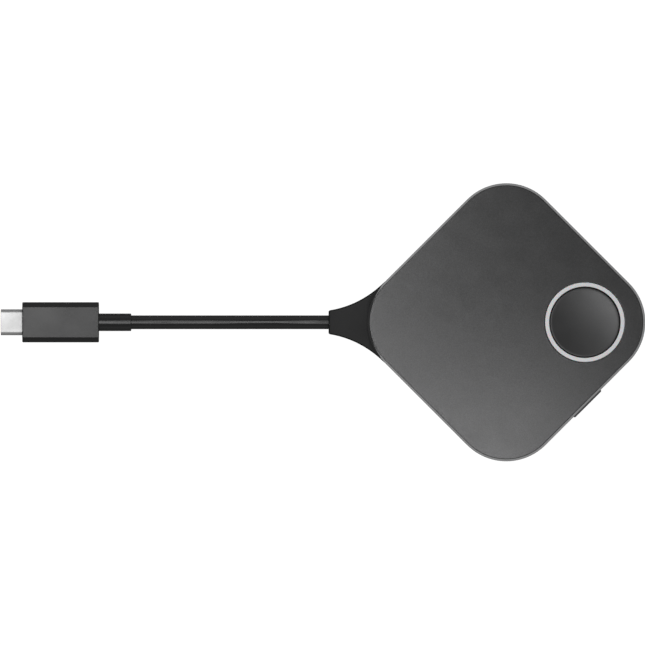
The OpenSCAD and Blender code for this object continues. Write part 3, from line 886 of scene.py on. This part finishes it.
# The neck's sides carry painted shade, for its dark outline
NECK = Finish(
    "neck_plastic", (0.012, 0.012, 0.0123), 0.42, specular=0.12, grain=0.16 * MM, depth=0.006 * MM,
    dust=0.06, flank_painted_shade=0.7,
)
CORD = CordFinish("cord_plastic", (0.009, 0.009, 0.0092), 0.18, specular=0.38, depth=0.003 * MM, dust=0.08)
FERRULE = Finish("ferrule_metal", (0.4, 0.4, 0.41), 0.35, 1.0, handling=0.15)
CLAMP = Finish("clamp_plastic", (0.03, 0.03, 0.032), 0.5, grain=0.3 * MM, depth=0.01 * MM)
WIRES = WireFinish("wire_plastic", (0.3, 0.04, 0.04), 0.4)
HEADER = Finish("header_plastic", (0.7, 0.66, 0.52), 0.5, tone=0.1)
BOARD = BoardFinish("board_laminate", (0.012, 0.1, 0.045), 0.35)
CHIP = Finish("chip_plastic", (0.02, 0.02, 0.022), 0.55, grain=0.2 * MM, depth=0.01 * MM, speckle=0.2)
PAD = Finish("pad_silicone", (0.3, 0.4, 0.5), 0.7, tone=0.15)
SPREADER = Finish("spreader_metal", (0.6, 0.6, 0.62), 0.38, 1.0, handling=0.2, speckle=0.1)
COIL = Finish("coil_ferrite", (0.07, 0.075, 0.08), 0.6, grain=0.2 * MM, depth=0.015 * MM, speckle=0.3)
MODULE = BoardFinish("module_laminate", (0.012, 0.05, 0.16), 0.35, track=(0.03, 0.1, 0.3), pitch=0.8 * MM)
SHIELD = Finish("shield_metal", (0.62, 0.62, 0.63), 0.32, 1.0, handling=0.2, tone=0.1)
ANTENNA = Finish("antenna_metal", (0.6, 0.42, 0.2), 0.35, 1.0, handling=0.2)
BAFFLE = Finish("baffle_plastic", (0.8, 0.8, 0.8), 0.45, translucent=0.1)
LED = Finish("led_plastic", (0.85, 0.78, 0.4), 0.3, translucent=0.3, tone=0.2)
SWITCH = Finish("switch_plastic", (0.03, 0.03, 0.034), 0.5, grain=0.2 * MM)
PLUNGER = Finish("plunger_plastic", (0.62, 0.58, 0.5), 0.5)
PLUG = Finish(
    "plug_plastic", (0.0135, 0.0135, 0.0137), 0.22, specular=0.24, grain=0.1 * MM, depth=0.004 * MM,
    speckle=0.05, tone=0.03, dust=0.05, wear=0.3, worn=(0.18, 0.18, 0.18),
)
SHELL = Finish(
    "shell_metal", (0.428, 0.428, 0.428), 0.4, 0.86, grain=0.15 * MM, depth=0.001 * MM, handling=0.08,
)
CONTACT = Finish("contact_metal", (0.75, 0.52, 0.2), 0.3, 1.0, handling=0.15)
FILM = Finish("film", (0.66, 0.62, 0.5), 0.6, tone=0.1)


# Studio: camera, floor and lamps


@dataclass(frozen=True)
class Lamp:
    """A soft square lamp that looks at the object."""

    name: str
    place: Point
    target: Point
    size: float
    power: float

    def hang(self) -> None:
        """Adds the lamp."""
        data = bpy.data.lights.new(self.name, "AREA")
        data.shape = "SQUARE"
        data.size = self.size
        data.energy = self.power
        lamp = link(bpy.data.objects.new(self.name, data))
        lamp.location = self.place
        lamp.rotation_mode = "QUATERNION"
        lamp.rotation_quaternion = (Vector(self.target) - lamp.location).to_track_quat("-Z", "Y")
        lamp.visible_camera = False


@dataclass
class Studio:
    """Camera straight above the object, a pale floor, a soft world and lamps."""

    centre: Pair = (-58.4 * MM, -0.07 * MM)
    width: float = 205.1 * MM
    level: float = 12.0 * MM
    lens: float = 1000.0
    sensor: float = 36.0
    air_light: float = 0.5
    back_light: float = 1.6
    low_shine: float = 0.45
    high_shine: float = 0.2
    low_band: Pair = (0.35, 0.75)
    floor_side: float = 8.0
    floor_shade: float = 0.12
    floor_glow: float = 0.97
    floor_shine: float = 0.06
    floor_light: float = 0.6
    lamps: tuple[Lamp, ...] = (
        Lamp("key", (-0.08, -0.06, 0.3), (-0.048, -0.012, 0.01), 0.105, 0.0923),
        Lamp("plug_top", (-0.16, 0.02, 0.2), (-0.076, 0.004, 0.01), 0.07, 0.0735),
        Lamp("cord_top", (-0.12, -0.02, 0.3), (-0.062, -0.004, 0.01), 0.105, 0.0732),
        Lamp("puck_front", (0.0, -0.06, 0.2), (-0.02, -0.012, 0.01), 0.07, 0.038),
        Lamp("puck_back", (-0.08, 0.06, 0.2), (-0.048, 0.012, 0.01), 0.07, 0.0473),
    )

    def build(self) -> None:
        """Sets the whole studio up."""
        self.camera()
        self.floor()
        self.air()
        for lamp in self.lamps:
            lamp.hang()
        bpy.context.scene.view_settings.view_transform = "Standard"

    def camera(self) -> None:
        """A long lens straight above, framed as in the photograph."""
        data = bpy.data.cameras.new("camera")
        data.lens = self.lens
        data.sensor_width = self.sensor
        distance = self.width * self.lens / self.sensor
        data.clip_start = 0.1
        data.clip_end = 4 * distance
        camera = link(bpy.data.objects.new("camera", data))
        camera.location = (*self.centre, self.level + distance)
        bpy.context.scene.camera = camera

    def floor(self) -> None:
        """A floor that is white to the camera, keeps the soft shadow and is clear from below."""
        clear_bench()
        bpy.ops.mesh.primitive_plane_add(size=self.floor_side, location=(0.0, 0.0, -HAIR))
        floor = named("floor")
        made = bpy.data.materials.new("floor_paint")
        nodes = blank_tree(made)
        rays = nodes.add("LightPath").outputs
        seen = nodes.math("MAXIMUM", rays["Is Camera Ray"], rays["Is Transmission Ray"])
        seen = nodes.times(seen, self.floor_glow)
        seen = nodes.math("MAXIMUM", seen, nodes.times(rays["Is Glossy Ray"], self.floor_shine))
        seen = nodes.math("MAXIMUM", seen, nodes.times(rays["Is Diffuse Ray"], self.floor_light))
        matt = nodes.add("BsdfDiffuse", {"Color": opaque((self.floor_shade,) * 3)}).outputs[0]
        glow = nodes.add("Emission", {"Strength": seen}).outputs[0]
        both = nodes.add("AddShader", {0: matt, 1: glow}).outputs[0]
        below = nodes.add("NewGeometry").outputs["Backfacing"]
        clear = nodes.add("BsdfTransparent").outputs[0]
        paint = nodes.add("MixShader", {0: below, 1: both, 2: clear}).outputs[0]
        nodes.add("OutputMaterial", {"Surface": paint})
        made.cycles.emission_sampling = "NONE"
        floor.data.materials.append(made)

    def air(self) -> None:
        """A soft world that is white to the camera and lights the back a little more."""
        world = bpy.data.worlds.new("studio_air")
        nodes = blank_tree(world)
        rays = nodes.add("LightPath").outputs
        way = nodes.add("SeparateXYZ", {0: nodes.add("TexCoord").outputs["Generated"]}).outputs
        low = nodes.span(way["Z"], *self.low_band, self.back_light, 0.0)
        behind = nodes.math("MAXIMUM", way["Y"], 0.0)
        soft = nodes.plus(nodes.times(low, behind), self.air_light)
        shine = nodes.span(way["Z"], *self.low_band, self.low_shine, self.high_shine)
        glossy = rays["Is Glossy Ray"]
        seen = nodes.times(soft, nodes.math("SUBTRACT", 1.0, glossy))
        seen = nodes.plus(seen, nodes.times(shine, glossy))
        strength = nodes.math("MAXIMUM", rays["Is Camera Ray"], seen)
        air = nodes.add("Background", {"Color": opaque((1.0,) * 3), "Strength": strength}).outputs[0]
        nodes.add("OutputWorld", {"Surface": air})
        world.cycles.sampling_method = "NONE"
        bpy.context.scene.world = world


# Sub-assemblies


@dataclass
class Levels:
    """Heights above the table that the pieces of the puck share."""

    under: float = 0.8 * MM
    split: float = 6.4 * MM
    deck: float = 13.95 * MM
    deck_top: float = 15.35 * MM
    plate: float = 15.5 * MM
    plate_top: float = 16.3 * MM
    top: float = 16.4 * MM
    key: float = 9.55 * MM
    cable: float = 6.1 * MM


@dataclass
class Outline:
    """Rounded square of the housing, turned so that one corner points along X."""

    half: float = 36.4 * MM
    corner: float = 17.6 * MM
    segments: int = 24
    hollow_steps: int = 160

    def slab(self, name: str, inset: float, low: float, high: float) -> Piece:
        """A slab of the outline, drawn in by an inset, between two levels.

        Args:
            name: Name of the new piece.
            inset: How far it is drawn in all round.
            low: Its lowest level.
            high: Its highest level.

        Returns:
            The slab.
        """
        clear_bench()
        bpy.ops.mesh.primitive_plane_add(size=2 * (self.half - inset), location=(0.0, 0.0, low))
        piece = named(name)
        edit(piece)
        bpy.ops.mesh.bevel(affect="VERTICES", offset=self.corner - inset, segments=self.segments, profile=0.5)
        bpy.ops.mesh.select_all(action="SELECT")
        turn(EIGHTH_TURN)
        push((0.0, 0.0, high - low))
        bpy.ops.mesh.select_all(action="SELECT")
        bpy.ops.mesh.normals_make_consistent(inside=False)
        clear_bench()
        return piece

    def crescent(self, name: str, depth: float, low: float, high: float, grow: float = 0.0) -> Piece:
        """A crescent of the left corner that is deepest at the corner and ends at its two sides.

        Args:
            name: Name of the new piece.
            depth: Its depth at the corner.
            low: Its lowest level.
            high: Its highest level.
            grow: How far it stands out past the outline.

        Returns:
            The crescent.
        """
        corner_x = (self.half - self.corner) * math.sqrt(2)
        half_chord = self.corner * math.sqrt(0.5)
        rise = self.corner - depth - half_chord
        radius = (half_chord**2 + rise**2) / (2 * rise)
        centre_x = radius + depth - corner_x - self.corner
        far = 2 * self.half
        foot = (centre_x, 0.0, low - MM)
        return cut(
            self.slab(name, -grow, low, high),
            rod("hollow", radius, foot, high - low + 2 * MM, Axis.Z, self.hollow_steps),
            box("rest", (-corner_x - half_chord, -far, low - MM), (far, far, high + MM)),
        )

    def reach(self, place: Vector) -> float:
        """Distance of a place from the housing's outline, measured inwards.

        Args:
            place: The place, seen from above.

        Returns:
            The distance.
        """
        u = abs(place.x - place.y) / math.sqrt(2)
        v = abs(place.x + place.y) / math.sqrt(2)
        core = self.half - self.corner
        return self.corner - math.hypot(max(u - core, 0.0), max(v - core, 0.0))


@dataclass
class Housing:
    """Top cover with its rim, the plate let into it, the bottom cover, feet and screws."""

    levels: Levels
    outline: Outline
    rim: float = 0.65 * MM
    rim_round: float = 0.18 * MM
    rim_edge: float = 0.07 * MM
    wall: float = 1.8 * MM
    groove: float = 0.15 * MM
    plate_edge: float = 0.1 * MM
    opening: float = 12.85 * MM
    button_x: float = BUTTON_X
    tongue: Pair = (8.6 * MM, 5.8 * MM)
    key_opening: Pair = (12.5 * MM, 3.6 * MM)
    foot_radius: float = 4.5 * MM
    foot_at: float = 32.087 * MM
    foot_top: float = 1.6 * MM
    foot_edge: float = 0.4 * MM
    collar: float = 0.8 * MM
    collar_low: float = 11.0 * MM

    def top_cover(self) -> Piece:
        """The frame: a thin rim with a soft outer edge, the deck under the plate and the hollow below.

        Returns:
            The cover.
        """
        z = self.levels
        piece = self.outline.slab("top_cover_shell", 0.0, z.split, z.top)
        pick(piece, Kind.FACE, lambda at, n: n.z > LEAN)
        bpy.ops.mesh.inset(thickness=self.rim, depth=0.0)
        push((0.0, 0.0, z.deck_top - z.top))
        pick(piece, Kind.FACE, lambda at, n: n.z < -LEAN)
        bpy.ops.mesh.inset(thickness=self.wall, depth=0.0)
        push((0.0, 0.0, z.deck - z.split))
        reach = self.outline.reach
        outer = edges_at(z.top, lambda at: reach(at) < self.rim / 2)
        inner = edges_at(z.top, lambda at: abs(reach(at) - self.rim) < NEAR)
        round_edges(piece, outer, self.rim_round, ARC_STEPS)
        round_edges(piece, inner, self.rim_edge, FINE_STEPS)
        tip = self.outline.half * math.sqrt(2)
        cut(
            piece,
            self.round_opening(z.deck),
            beam("passage", -tip, -tip / 2, self.tongue, z.cable),
            self.side_opening(),
            self.outline.crescent("collar_seat", self.collar, self.collar_low, z.top + MM, MM),
        )
        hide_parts("top_cover")
        return finish_mesh(piece)

    def round_opening(self, low: float) -> Piece:
        """The cutter for the round opening, from a millimetre below a level."""
        foot = (self.button_x, 0.0, low - MM)
        return rod("opening", self.opening, foot, 3 * MM, Axis.Z, WHOLE_TURN)

    def side_opening(self) -> Piece:
        """The cutter for the key's opening in the lower right wall.

        Returns:
            The cutter.
        """
        width, height = self.key_opening
        start = (self.outline.half - 2 * self.wall, 0.0, self.levels.key)
        return turn_piece(stadium("key_opening", width, height, start, 3 * self.wall), -EIGHTH_TURN)

    def plate(self) -> Piece:
        """The metal plate with its softened edges and the opening for the light ring.

        Returns:
            The plate.
        """
        z = self.levels
        piece = self.outline.slab("plate", self.rim + self.groove, z.plate, z.plate_top)
        cut(piece, self.round_opening(z.plate))
        round_edges(piece, edges_at(z.plate_top, self.on_rim), self.plate_edge, FINE_STEPS)
        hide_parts("top_plate")
        return finish_mesh(piece)

    def on_rim(self, at: Vector) -> bool:
        """Whether a place lies on the plate's outer edge or on the edge of its opening.

        Args:
            at: The place.

        Returns:
            True on either edge.
        """
        outer = abs(self.outline.reach(at) - self.rim - self.groove) < NEAR
        inner = abs(math.hypot(at.x - self.button_x, at.y) - self.opening) < NEAR
        return outer or inner

    def feet(self) -> Piece:
        """Four rubber feet, turned once and copied round.

        Returns:
            The four as one piece.
        """
        edge = self.foot_edge
        profile = [(0.0, 0.0), (self.foot_radius - 2 * edge, 0.0)]
        profile += arc((self.foot_radius - edge, edge), edge, -90.0, 0.0, ARC_STEPS)
        profile += [(self.foot_radius, self.foot_top), (0.0, self.foot_top)]
        first = turned("foot_pads", profile, Axis.Z, (self.foot_at, 0.0, 0.0), SMALL_TURN)
        copies = []
        for k in range(1, 4):
            copy = link(first.copy())
            copy.data = first.data.copy()
            copies.append(turn_piece(copy, 2 * k * EIGHTH_TURN))
        take(first)
        for copy in copies:
            copy.select_set(True)
        bpy.ops.object.join()
        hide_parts("feet")
        return first

    def build(self) -> None:
        """Builds and dresses the puck's outer pieces."""
        fit(COVER.dress(self.top_cover()), HOUSING)
        fit(PLATE.dress(self.plate()), HOUSING)
        fit(BASE.dress(polished_copy("bottom_cover")), HOUSING)
        fit(FOOT.dress(self.feet()), HOUSING)


@dataclass
class PresentButton:
    """Dished round cap and the pale ring that lights up round it."""

    levels: Levels
    x: float = BUTTON_X
    radius: float = 10.93 * MM
    lip: float = 0.33 * MM
    edge: float = 0.12 * MM
    dish: float = 0.8 * MM
    flange: float = 1.4 * MM
    flange_low: float = 11.9 * MM
    flange_high: float = 12.9 * MM
    roof: float = 14.0 * MM
    wall: float = 1.4 * MM
    post: float = 2.2 * MM
    post_foot: float = 12.1 * MM
    ring_outer: float = 12.62 * MM
    ring_inner: float = 11.35 * MM
    ring_edge: float = 0.18 * MM
    ring_steps: int = 5
    ring_flange: float = 14.1 * MM
    ring_low: float = 12.95 * MM

    def cap(self) -> Piece:
        """The cap: hollow below with a post, a flange, a soft edge and the dish.

        Returns:
            The cap.
        """
        top = self.levels.top
        reach = self.radius - self.lip
        ball = (reach * reach + self.dish * self.dish) / (2 * self.dish)
        slope = math.degrees(math.asin(reach / ball))
        inner = self.radius - self.wall
        profile = [(0.0, self.post_foot), (self.post, self.post_foot), (self.post, self.roof)]
        profile += [(inner, self.roof), (inner, self.flange_low)]
        flange = self.radius + self.flange
        profile += [(flange, self.flange_low), (flange, self.flange_high), (self.radius, self.flange_high)]
        profile += arc((self.radius - self.edge, top - self.edge), self.edge, 0.0, 90.0, ARC_STEPS)
        dish = arc((0.0, top - self.dish + ball), ball, -90.0 + slope, -90.0, DISH_STEPS)
        profile += dish[:-1] + [(0.0, top - self.dish)]
        piece = turned("present_cap", profile, Axis.Z, (self.x, 0.0, 0.0), WHOLE_TURN)
        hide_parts("present_button")
        return piece

    def ring(self) -> Piece:
        """The light ring with its flange under the deck.

        Returns:
            The ring.
        """
        top, edge = self.levels.top, self.ring_edge
        profile = [(self.ring_inner, self.ring_low), (self.ring_flange, self.ring_low)]
        profile += [(self.ring_flange, self.levels.deck), (self.ring_outer, self.levels.deck)]
        profile += arc((self.ring_outer - edge, top - edge), edge, 0.0, 90.0, self.ring_steps)
        profile += arc((self.ring_inner + edge, top - edge), edge, 90.0, 180.0, self.ring_steps)
        profile += [(self.ring_inner, self.ring_low)]
        piece = turned("glow_ring", profile, Axis.Z, (self.x, 0.0, 0.0), WHOLE_TURN)
        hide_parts("light_ring")
        return piece

    def build(self) -> None:
        """Builds and dresses the button's visible pieces."""
        fit(RING.dress(self.ring()), HOUSING)
        fit(CAP.dress(self.cap()), BUTTON)


@dataclass
class PairKey:
    """Long key in the lower right side, with its flange and stem behind the wall."""

    levels: Levels
    size: Pair = (12.1 * MM, 3.2 * MM)
    flange: Pair = (14.3 * MM, 4.3 * MM)
    face: float = 36.95 * MM
    seat: float = 34.55 * MM
    back: float = 33.55 * MM
    stem_end: float = 32.75 * MM
    stem: float = 1.2 * MM
    edge: float = 0.3 * MM
    segments: int = 14
    stem_sides: int = 32

    def build(self) -> None:
        """Builds the key along X, then turns it to the lower right side."""
        z = self.levels.key
        start, length = self.seat - HAIR, self.face - self.seat + HAIR
        piece = stadium("pair_key_cap", *self.size, (start, 0.0, z), length, self.segments)
        round_edges(piece, edges_across(self.face), self.edge, EDGE_STEPS)
        flange = stadium("flange", *self.flange, (self.back, 0.0, z), self.seat - self.back, self.segments)
        reach = self.back - self.stem_end + HAIR
        stem = rod("stem", self.stem, (self.stem_end, 0.0, z), reach, Axis.X, self.stem_sides)
        weld(piece, flange, stem)
        turn_piece(piece, -EIGHTH_TURN)
        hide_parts("pair_key")
        fit(KEY_CAP.dress(finish_mesh(piece)), KEY)


@dataclass
class Neck:
    """Flared neck that wraps the left corner and leads the cord out."""

    levels: Levels
    outline: Outline
    front: float = -56.487 * MM
    tip: float = -44.187 * MM
    root: float = -38.6 * MM
    hollow_x: float = -60.67 * MM
    hollow_y: float = 34.083 * MM
    hollow_radius: float = 30.6 * MM
    tip_half: float = 12.9 * MM
    wing: float = 0.12 * MM
    front_low: float = 2.4 * MM
    front_high: float = 9.8 * MM
    root_low: float = 1.1 * MM
    root_high: float = 12.2 * MM
    gap: float = 0.05 * MM
    edge: float = 0.48 * MM
    edge_slack: float = 0.2 * MM
    corner_edge: float = 3.25 * MM
    corner_steps: int = 10
    stations: int = 22
    tongue: Pair = (8.4 * MM, 5.6 * MM)
    flange: Pair = (12.0 * MM, 6.6 * MM)
    flange_x: Pair = (-42.387 * MM, -40.387 * MM)
    bore: float = 2.25 * MM
    bore_length: float = 20.0 * MM
    bore_sides: int = 40
    collar: float = 0.78 * MM
    collar_low: float = 11.05 * MM

    def share(self, x: float) -> float:
        """How far along the neck a place is, from 0 at the front to 1 at the housing."""
        return min(1.0, (x - self.front) / (self.tip - self.front))

    def half_width(self, x: float) -> float:
        """Half the neck's width at a place along it.

        Args:
            x: The place.

        Returns:
            Half the width.
        """
        run = x - self.hollow_x
        curve = self.hollow_y - math.sqrt(self.hollow_radius**2 - run * run)
        return min(self.tip_half, curve + self.share(x) * self.wing)

    def heights(self, x: float) -> Pair:
        """Lowest and highest level of the neck at a place along it.

        Args:
            x: The place.

        Returns:
            The two levels.
        """
        share = self.share(x)
        low = self.front_low + share * (self.root_low - self.front_low)
        high = self.front_high + share * (self.root_high - self.front_high)
        return low, high

    def flare(self) -> Piece:
        """The flared body: a bar whose sections widen along the hollow curves.

        Returns:
            The body.
        """
        half = self.half_width(self.front)
        low, high = self.heights(self.front)
        piece = box("neck_flare", (self.front, -half, low), (self.root, half, high))
        pick(piece, Kind.EDGE, lambda at, run: abs(run.x) > LEAN)
        bpy.ops.mesh.subdivide(number_cuts=self.stations - 1)
        clear_bench()
        step = (self.root - self.front) / self.stations
        middle = (low + high) / 2
        for k in range(1, self.stations + 1):
            x = self.front + k * step
            z0, z1 = self.heights(x)
            pick(piece, Kind.VERTEX, lambda at, n, x=x: abs(at.x - x) < step / 4)
            stretch((1.0, self.half_width(x) / half, (z1 - z0) / (high - low)), (x, 0.0, middle))
            bpy.ops.transform.translate(value=(0.0, 0.0, (z0 + z1) / 2 - middle))
        return round_edges(piece, self.is_long_edge, self.edge, EDGE_STEPS)

    def is_long_edge(self, at: Vector, run: Vector) -> bool:
        """Whether an edge runs along the neck or round its front.

        Args:
            at: The edge's middle.
            run: Its direction.

        Returns:
            True for such an edge.
        """
        if abs(run.x) > LEAN:
            low, high = self.heights(at.x)
            return min(abs(at.z - low), abs(at.z - high)) < self.edge_slack
        return abs(at.x - self.front) < HAIR

    def corner_form(self) -> Piece:
        """The housing's corner, a gap larger, that the neck is cut to.

        Returns:
            The cutter.
        """
        z = self.levels
        tool = self.outline.slab("corner_form", -self.gap, z.under - self.gap, z.top)
        return round_edges(
            tool, lambda at, run: at.z < z.under and abs(run.z) < LEAN, self.corner_edge, self.corner_steps
        )

    def build(self) -> Piece:
        """Builds the neck with its tongue, flange and bore, and dresses it.

        Returns:
            The neck.
        """
        z = self.levels.cable
        piece = cut(self.flare(), self.corner_form())
        tongue = beam("tongue", self.tip - 2 * self.gap, self.flange_x[1] - HAIR, self.tongue, z)
        flange = beam("flange", *self.flange_x, self.flange, z)
        collar = self.outline.crescent("collar", self.collar, self.collar_low, self.levels.top)
        weld(piece, tongue, flange, collar)
        mouth = (self.front - MM, 0.0, z)
        cut(piece, rod("bore", self.bore, mouth, self.bore_length, Axis.X, self.bore_sides))
        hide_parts("cable_neck")
        return fit(NECK.dress(finish_mesh(piece)), HOUSING)


@dataclass
class Plug:
    """Flat reversible plug: strain relief, moulded housing and metal shell."""

    level: float = 3.1 * MM
    cord_end: float = -119.3 * MM
    back: float = -129.6 * MM
    front: float = -154.0 * MM
    mouth: float = -160.85 * MM
    relief_radius: float = 2.8 * MM
    relief_edge: float = 0.25 * MM
    width: float = 12.8 * MM
    flat: float = 9.7 * MM
    height: float = 6.2 * MM
    side: float = 2.4 * MM
    end_edge: float = 0.3 * MM
    shoulder_edge: float = 0.1 * MM
    shell: Pair = (8.25 * MM, 2.4 * MM)
    shell_wall: float = 0.25 * MM
    shell_inside: float = 4.0 * MM
    mouth_edge: float = 0.08 * MM
    seat: float = 0.02 * MM
    chamber: Pair = (9.0 * MM, 3.0 * MM)
    chamber_length: float = 15.0 * MM
    segments: int = 14
    hard_angle: float = 28.0

    def relief(self) -> Piece:
        """The smooth sleeve behind the housing, softened where the cord enters.

        Returns:
            The sleeve.
        """
        edge, radius = self.relief_edge, self.relief_radius
        length = self.cord_end - self.back
        profile = [(0.0, 0.0), (radius, 0.0)]
        profile += arc((radius - edge, length - edge), edge, 0.0, 90.0, ARC_STEPS)
        profile += [(0.0, length)]
        piece = turned("plug_sleeve", profile, Axis.X, (self.back, 0.0, self.level), SMALL_TURN)
        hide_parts("plug_relief")
        return piece

    def housing(self) -> Piece:
        """The moulded housing: flat faces between sloping shoulders, with the shell's seat and a chamber.

        Returns:
            The housing.
        """
        piece = beam("plug_body", self.front, self.back, (self.width, self.side), self.level)
        rise = (self.height - self.side) / 2
        middle = (self.front + self.back) / 2
        for way in (1.0, -1.0):
            pick(piece, Kind.FACE, lambda at, n, way=way: n.z * way > STRAIGHT)
            push((0.0, 0.0, way * rise))
            stretch((1.0, self.flat / self.width, 1.0), (middle, 0.0, self.level))
        round_edges(piece, edges_across(self.front, self.back), self.end_edge, EDGE_STEPS)
        round_edges(piece, lambda at, run: abs(run.x) > STRAIGHT, self.shoulder_edge, FINE_STEPS)
        width, height = (size + 2 * self.seat for size in self.shell)
        start = self.front + self.shell_inside
        cut(
            piece,
            stadium("shell_seat", width, height, (self.front - MM, 0.0, self.level), self.shell_inside + MM),
            beam("chamber", start, start + self.chamber_length, self.chamber, self.level),
        )
        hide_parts("plug_housing")
        return finish_mesh(piece, self.hard_angle)

    def metal_shell(self) -> Piece:
        """The shell: a drawn tube with full round sides and a softened mouth.

        Returns:
            The shell.
        """
        length = self.front + self.shell_inside - self.mouth
        inside = (size - 2 * self.shell_wall for size in self.shell)
        mouth = (self.mouth, 0.0, self.level)
        before = (self.mouth - MM, 0.0, self.level)
        piece = stadium("plug_mouth_shell", *self.shell, mouth, length, self.segments)
        cut(piece, stadium("hollow", *inside, before, length + 2 * MM, self.segments))
        round_edges(piece, edges_across(self.mouth), self.mouth_edge, FINE_STEPS)
        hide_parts("plug_shell")
        return finish_mesh(piece)

    def build(self) -> list[Piece]:
        """Builds and dresses the plug's outer pieces.

        Returns:
            The three pieces, which are on the cord.
        """
        return [
            fit(CORD.dress(self.relief()), HOUSING),
            fit(PLUG.dress(self.housing()), HOUSING),
            fit(SHELL.dress(self.metal_shell()), HOUSING),
        ]


@dataclass
class Cord:
    """The captive cord from the neck to the plug, along a listed route."""

    diameter: float = 4.4 * MM
    route: tuple[Pair, ...] = (
        (-56.49, 6.1), (-61.0, 6.1), (-65.5, 5.9), (-70.0, 5.35), (-74.5, 4.5),
        (-79.0, 3.65), (-83.5, 2.95), (-88.0, 2.45), (-92.5, 2.2), (-97.0, 2.2),
        (-101.5, 2.2), (-106.0, 2.4), (-110.5, 2.75), (-115.0, 3.05), (-119.3, 3.1),
    )

    def length(self) -> float:
        """Length of the route."""
        return MM * sum(math.dist(a, b) for a, b in zip(self.route, self.route[1:]))

    def build(self, on_it: Iterable[Piece]) -> None:
        """Lays the cord and hangs it on the housing.

        Args:
            on_it: The pieces that are on the cord; not used.
        """
        curve = bpy.data.curves.new("cord", "CURVE")
        curve.dimensions = "3D"
        curve.bevel_depth = self.diameter / 2
        curve.bevel_resolution = 10
        curve.use_fill_caps = True
        curve.resolution_u = 6
        spline = curve.splines.new("BEZIER")
        spline.bezier_points.add(len(self.route) - 1)
        for point, (x, z) in zip(spline.bezier_points, self.route):
            point.co = (x * MM, 0.0, z * MM)
            point.handle_left_type = point.handle_right_type = "AUTO"
        piece = link(bpy.data.objects.new("cord", curve))
        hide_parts("cord_jacket")
        fit(CORD.dress(piece), HOUSING)


INNER_FINISHES: dict[str, Finish] = {
    "plate_film": FILM,
    "case_screws": SCREW,
    "cable_tail": CORD,
    "cable_ferrule": FERRULE,
    "cable_clamp": CLAMP,
    "clamp_screws": SCREW,
    "cable_wires": WIRES,
    "cable_header": HEADER,
    "main_board": BOARD,
    "processor": CHIP,
    "memory_chips": CHIP,
    "thermal_pad": PAD,
    "heat_spreader": SPREADER,
    "power_coils": COIL,
    "wireless_board": MODULE,
    "wireless_shield": SHIELD,
    "antennas": ANTENNA,
    "light_baffle": BAFFLE,
    "status_leds": LED,
    "main_switch_body": SWITCH,
    "main_switch_plunger": PLUNGER,
    "side_switch_body": SWITCH,
    "side_switch_plunger": PLUNGER,
    "plug_insert": BASE,
    "plug_contacts": CONTACT,
    "plug_latches": SHIELD,
    "plug_board": BOARD,
}
CORD_NODES = ("cable_tail", "plug_insert", "plug_contacts", "plug_latches", "plug_board")


def fit(piece: Piece, body: str) -> Piece:
    """Makes a piece ride on a body and reports it.

    Args:
        piece: The piece.
        body: Name of the body.

    Returns:
        The same piece.
    """
    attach(piece, body)
    LOG.info("%s rides on %s", piece.name, body)
    return piece


def dress_inner_nodes() -> None:
    """Gives each frame node that stays its finish."""
    for name, finish in INNER_FINISHES.items():
        finish.dress(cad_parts[name])
        LOG.info("%s dressed in %s", name, finish.slot)


def main() -> None:
    """Builds the studio, then each sub-assembly in order."""
    logging.basicConfig(level=logging.INFO, format="%(name)s: %(message)s")
    Studio().build()
    levels = Levels()
    outline = Outline()
    neck = Neck(levels, outline).build()
    plug = Plug().build()
    inner = [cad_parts[name] for name in CORD_NODES]
    Cord().build([neck, *plug, *inner])
    Housing(levels, outline).build()
    PresentButton(levels).build()
    PairKey(levels).build()
    dress_inner_nodes()


if __name__ == "__main__":
    main()
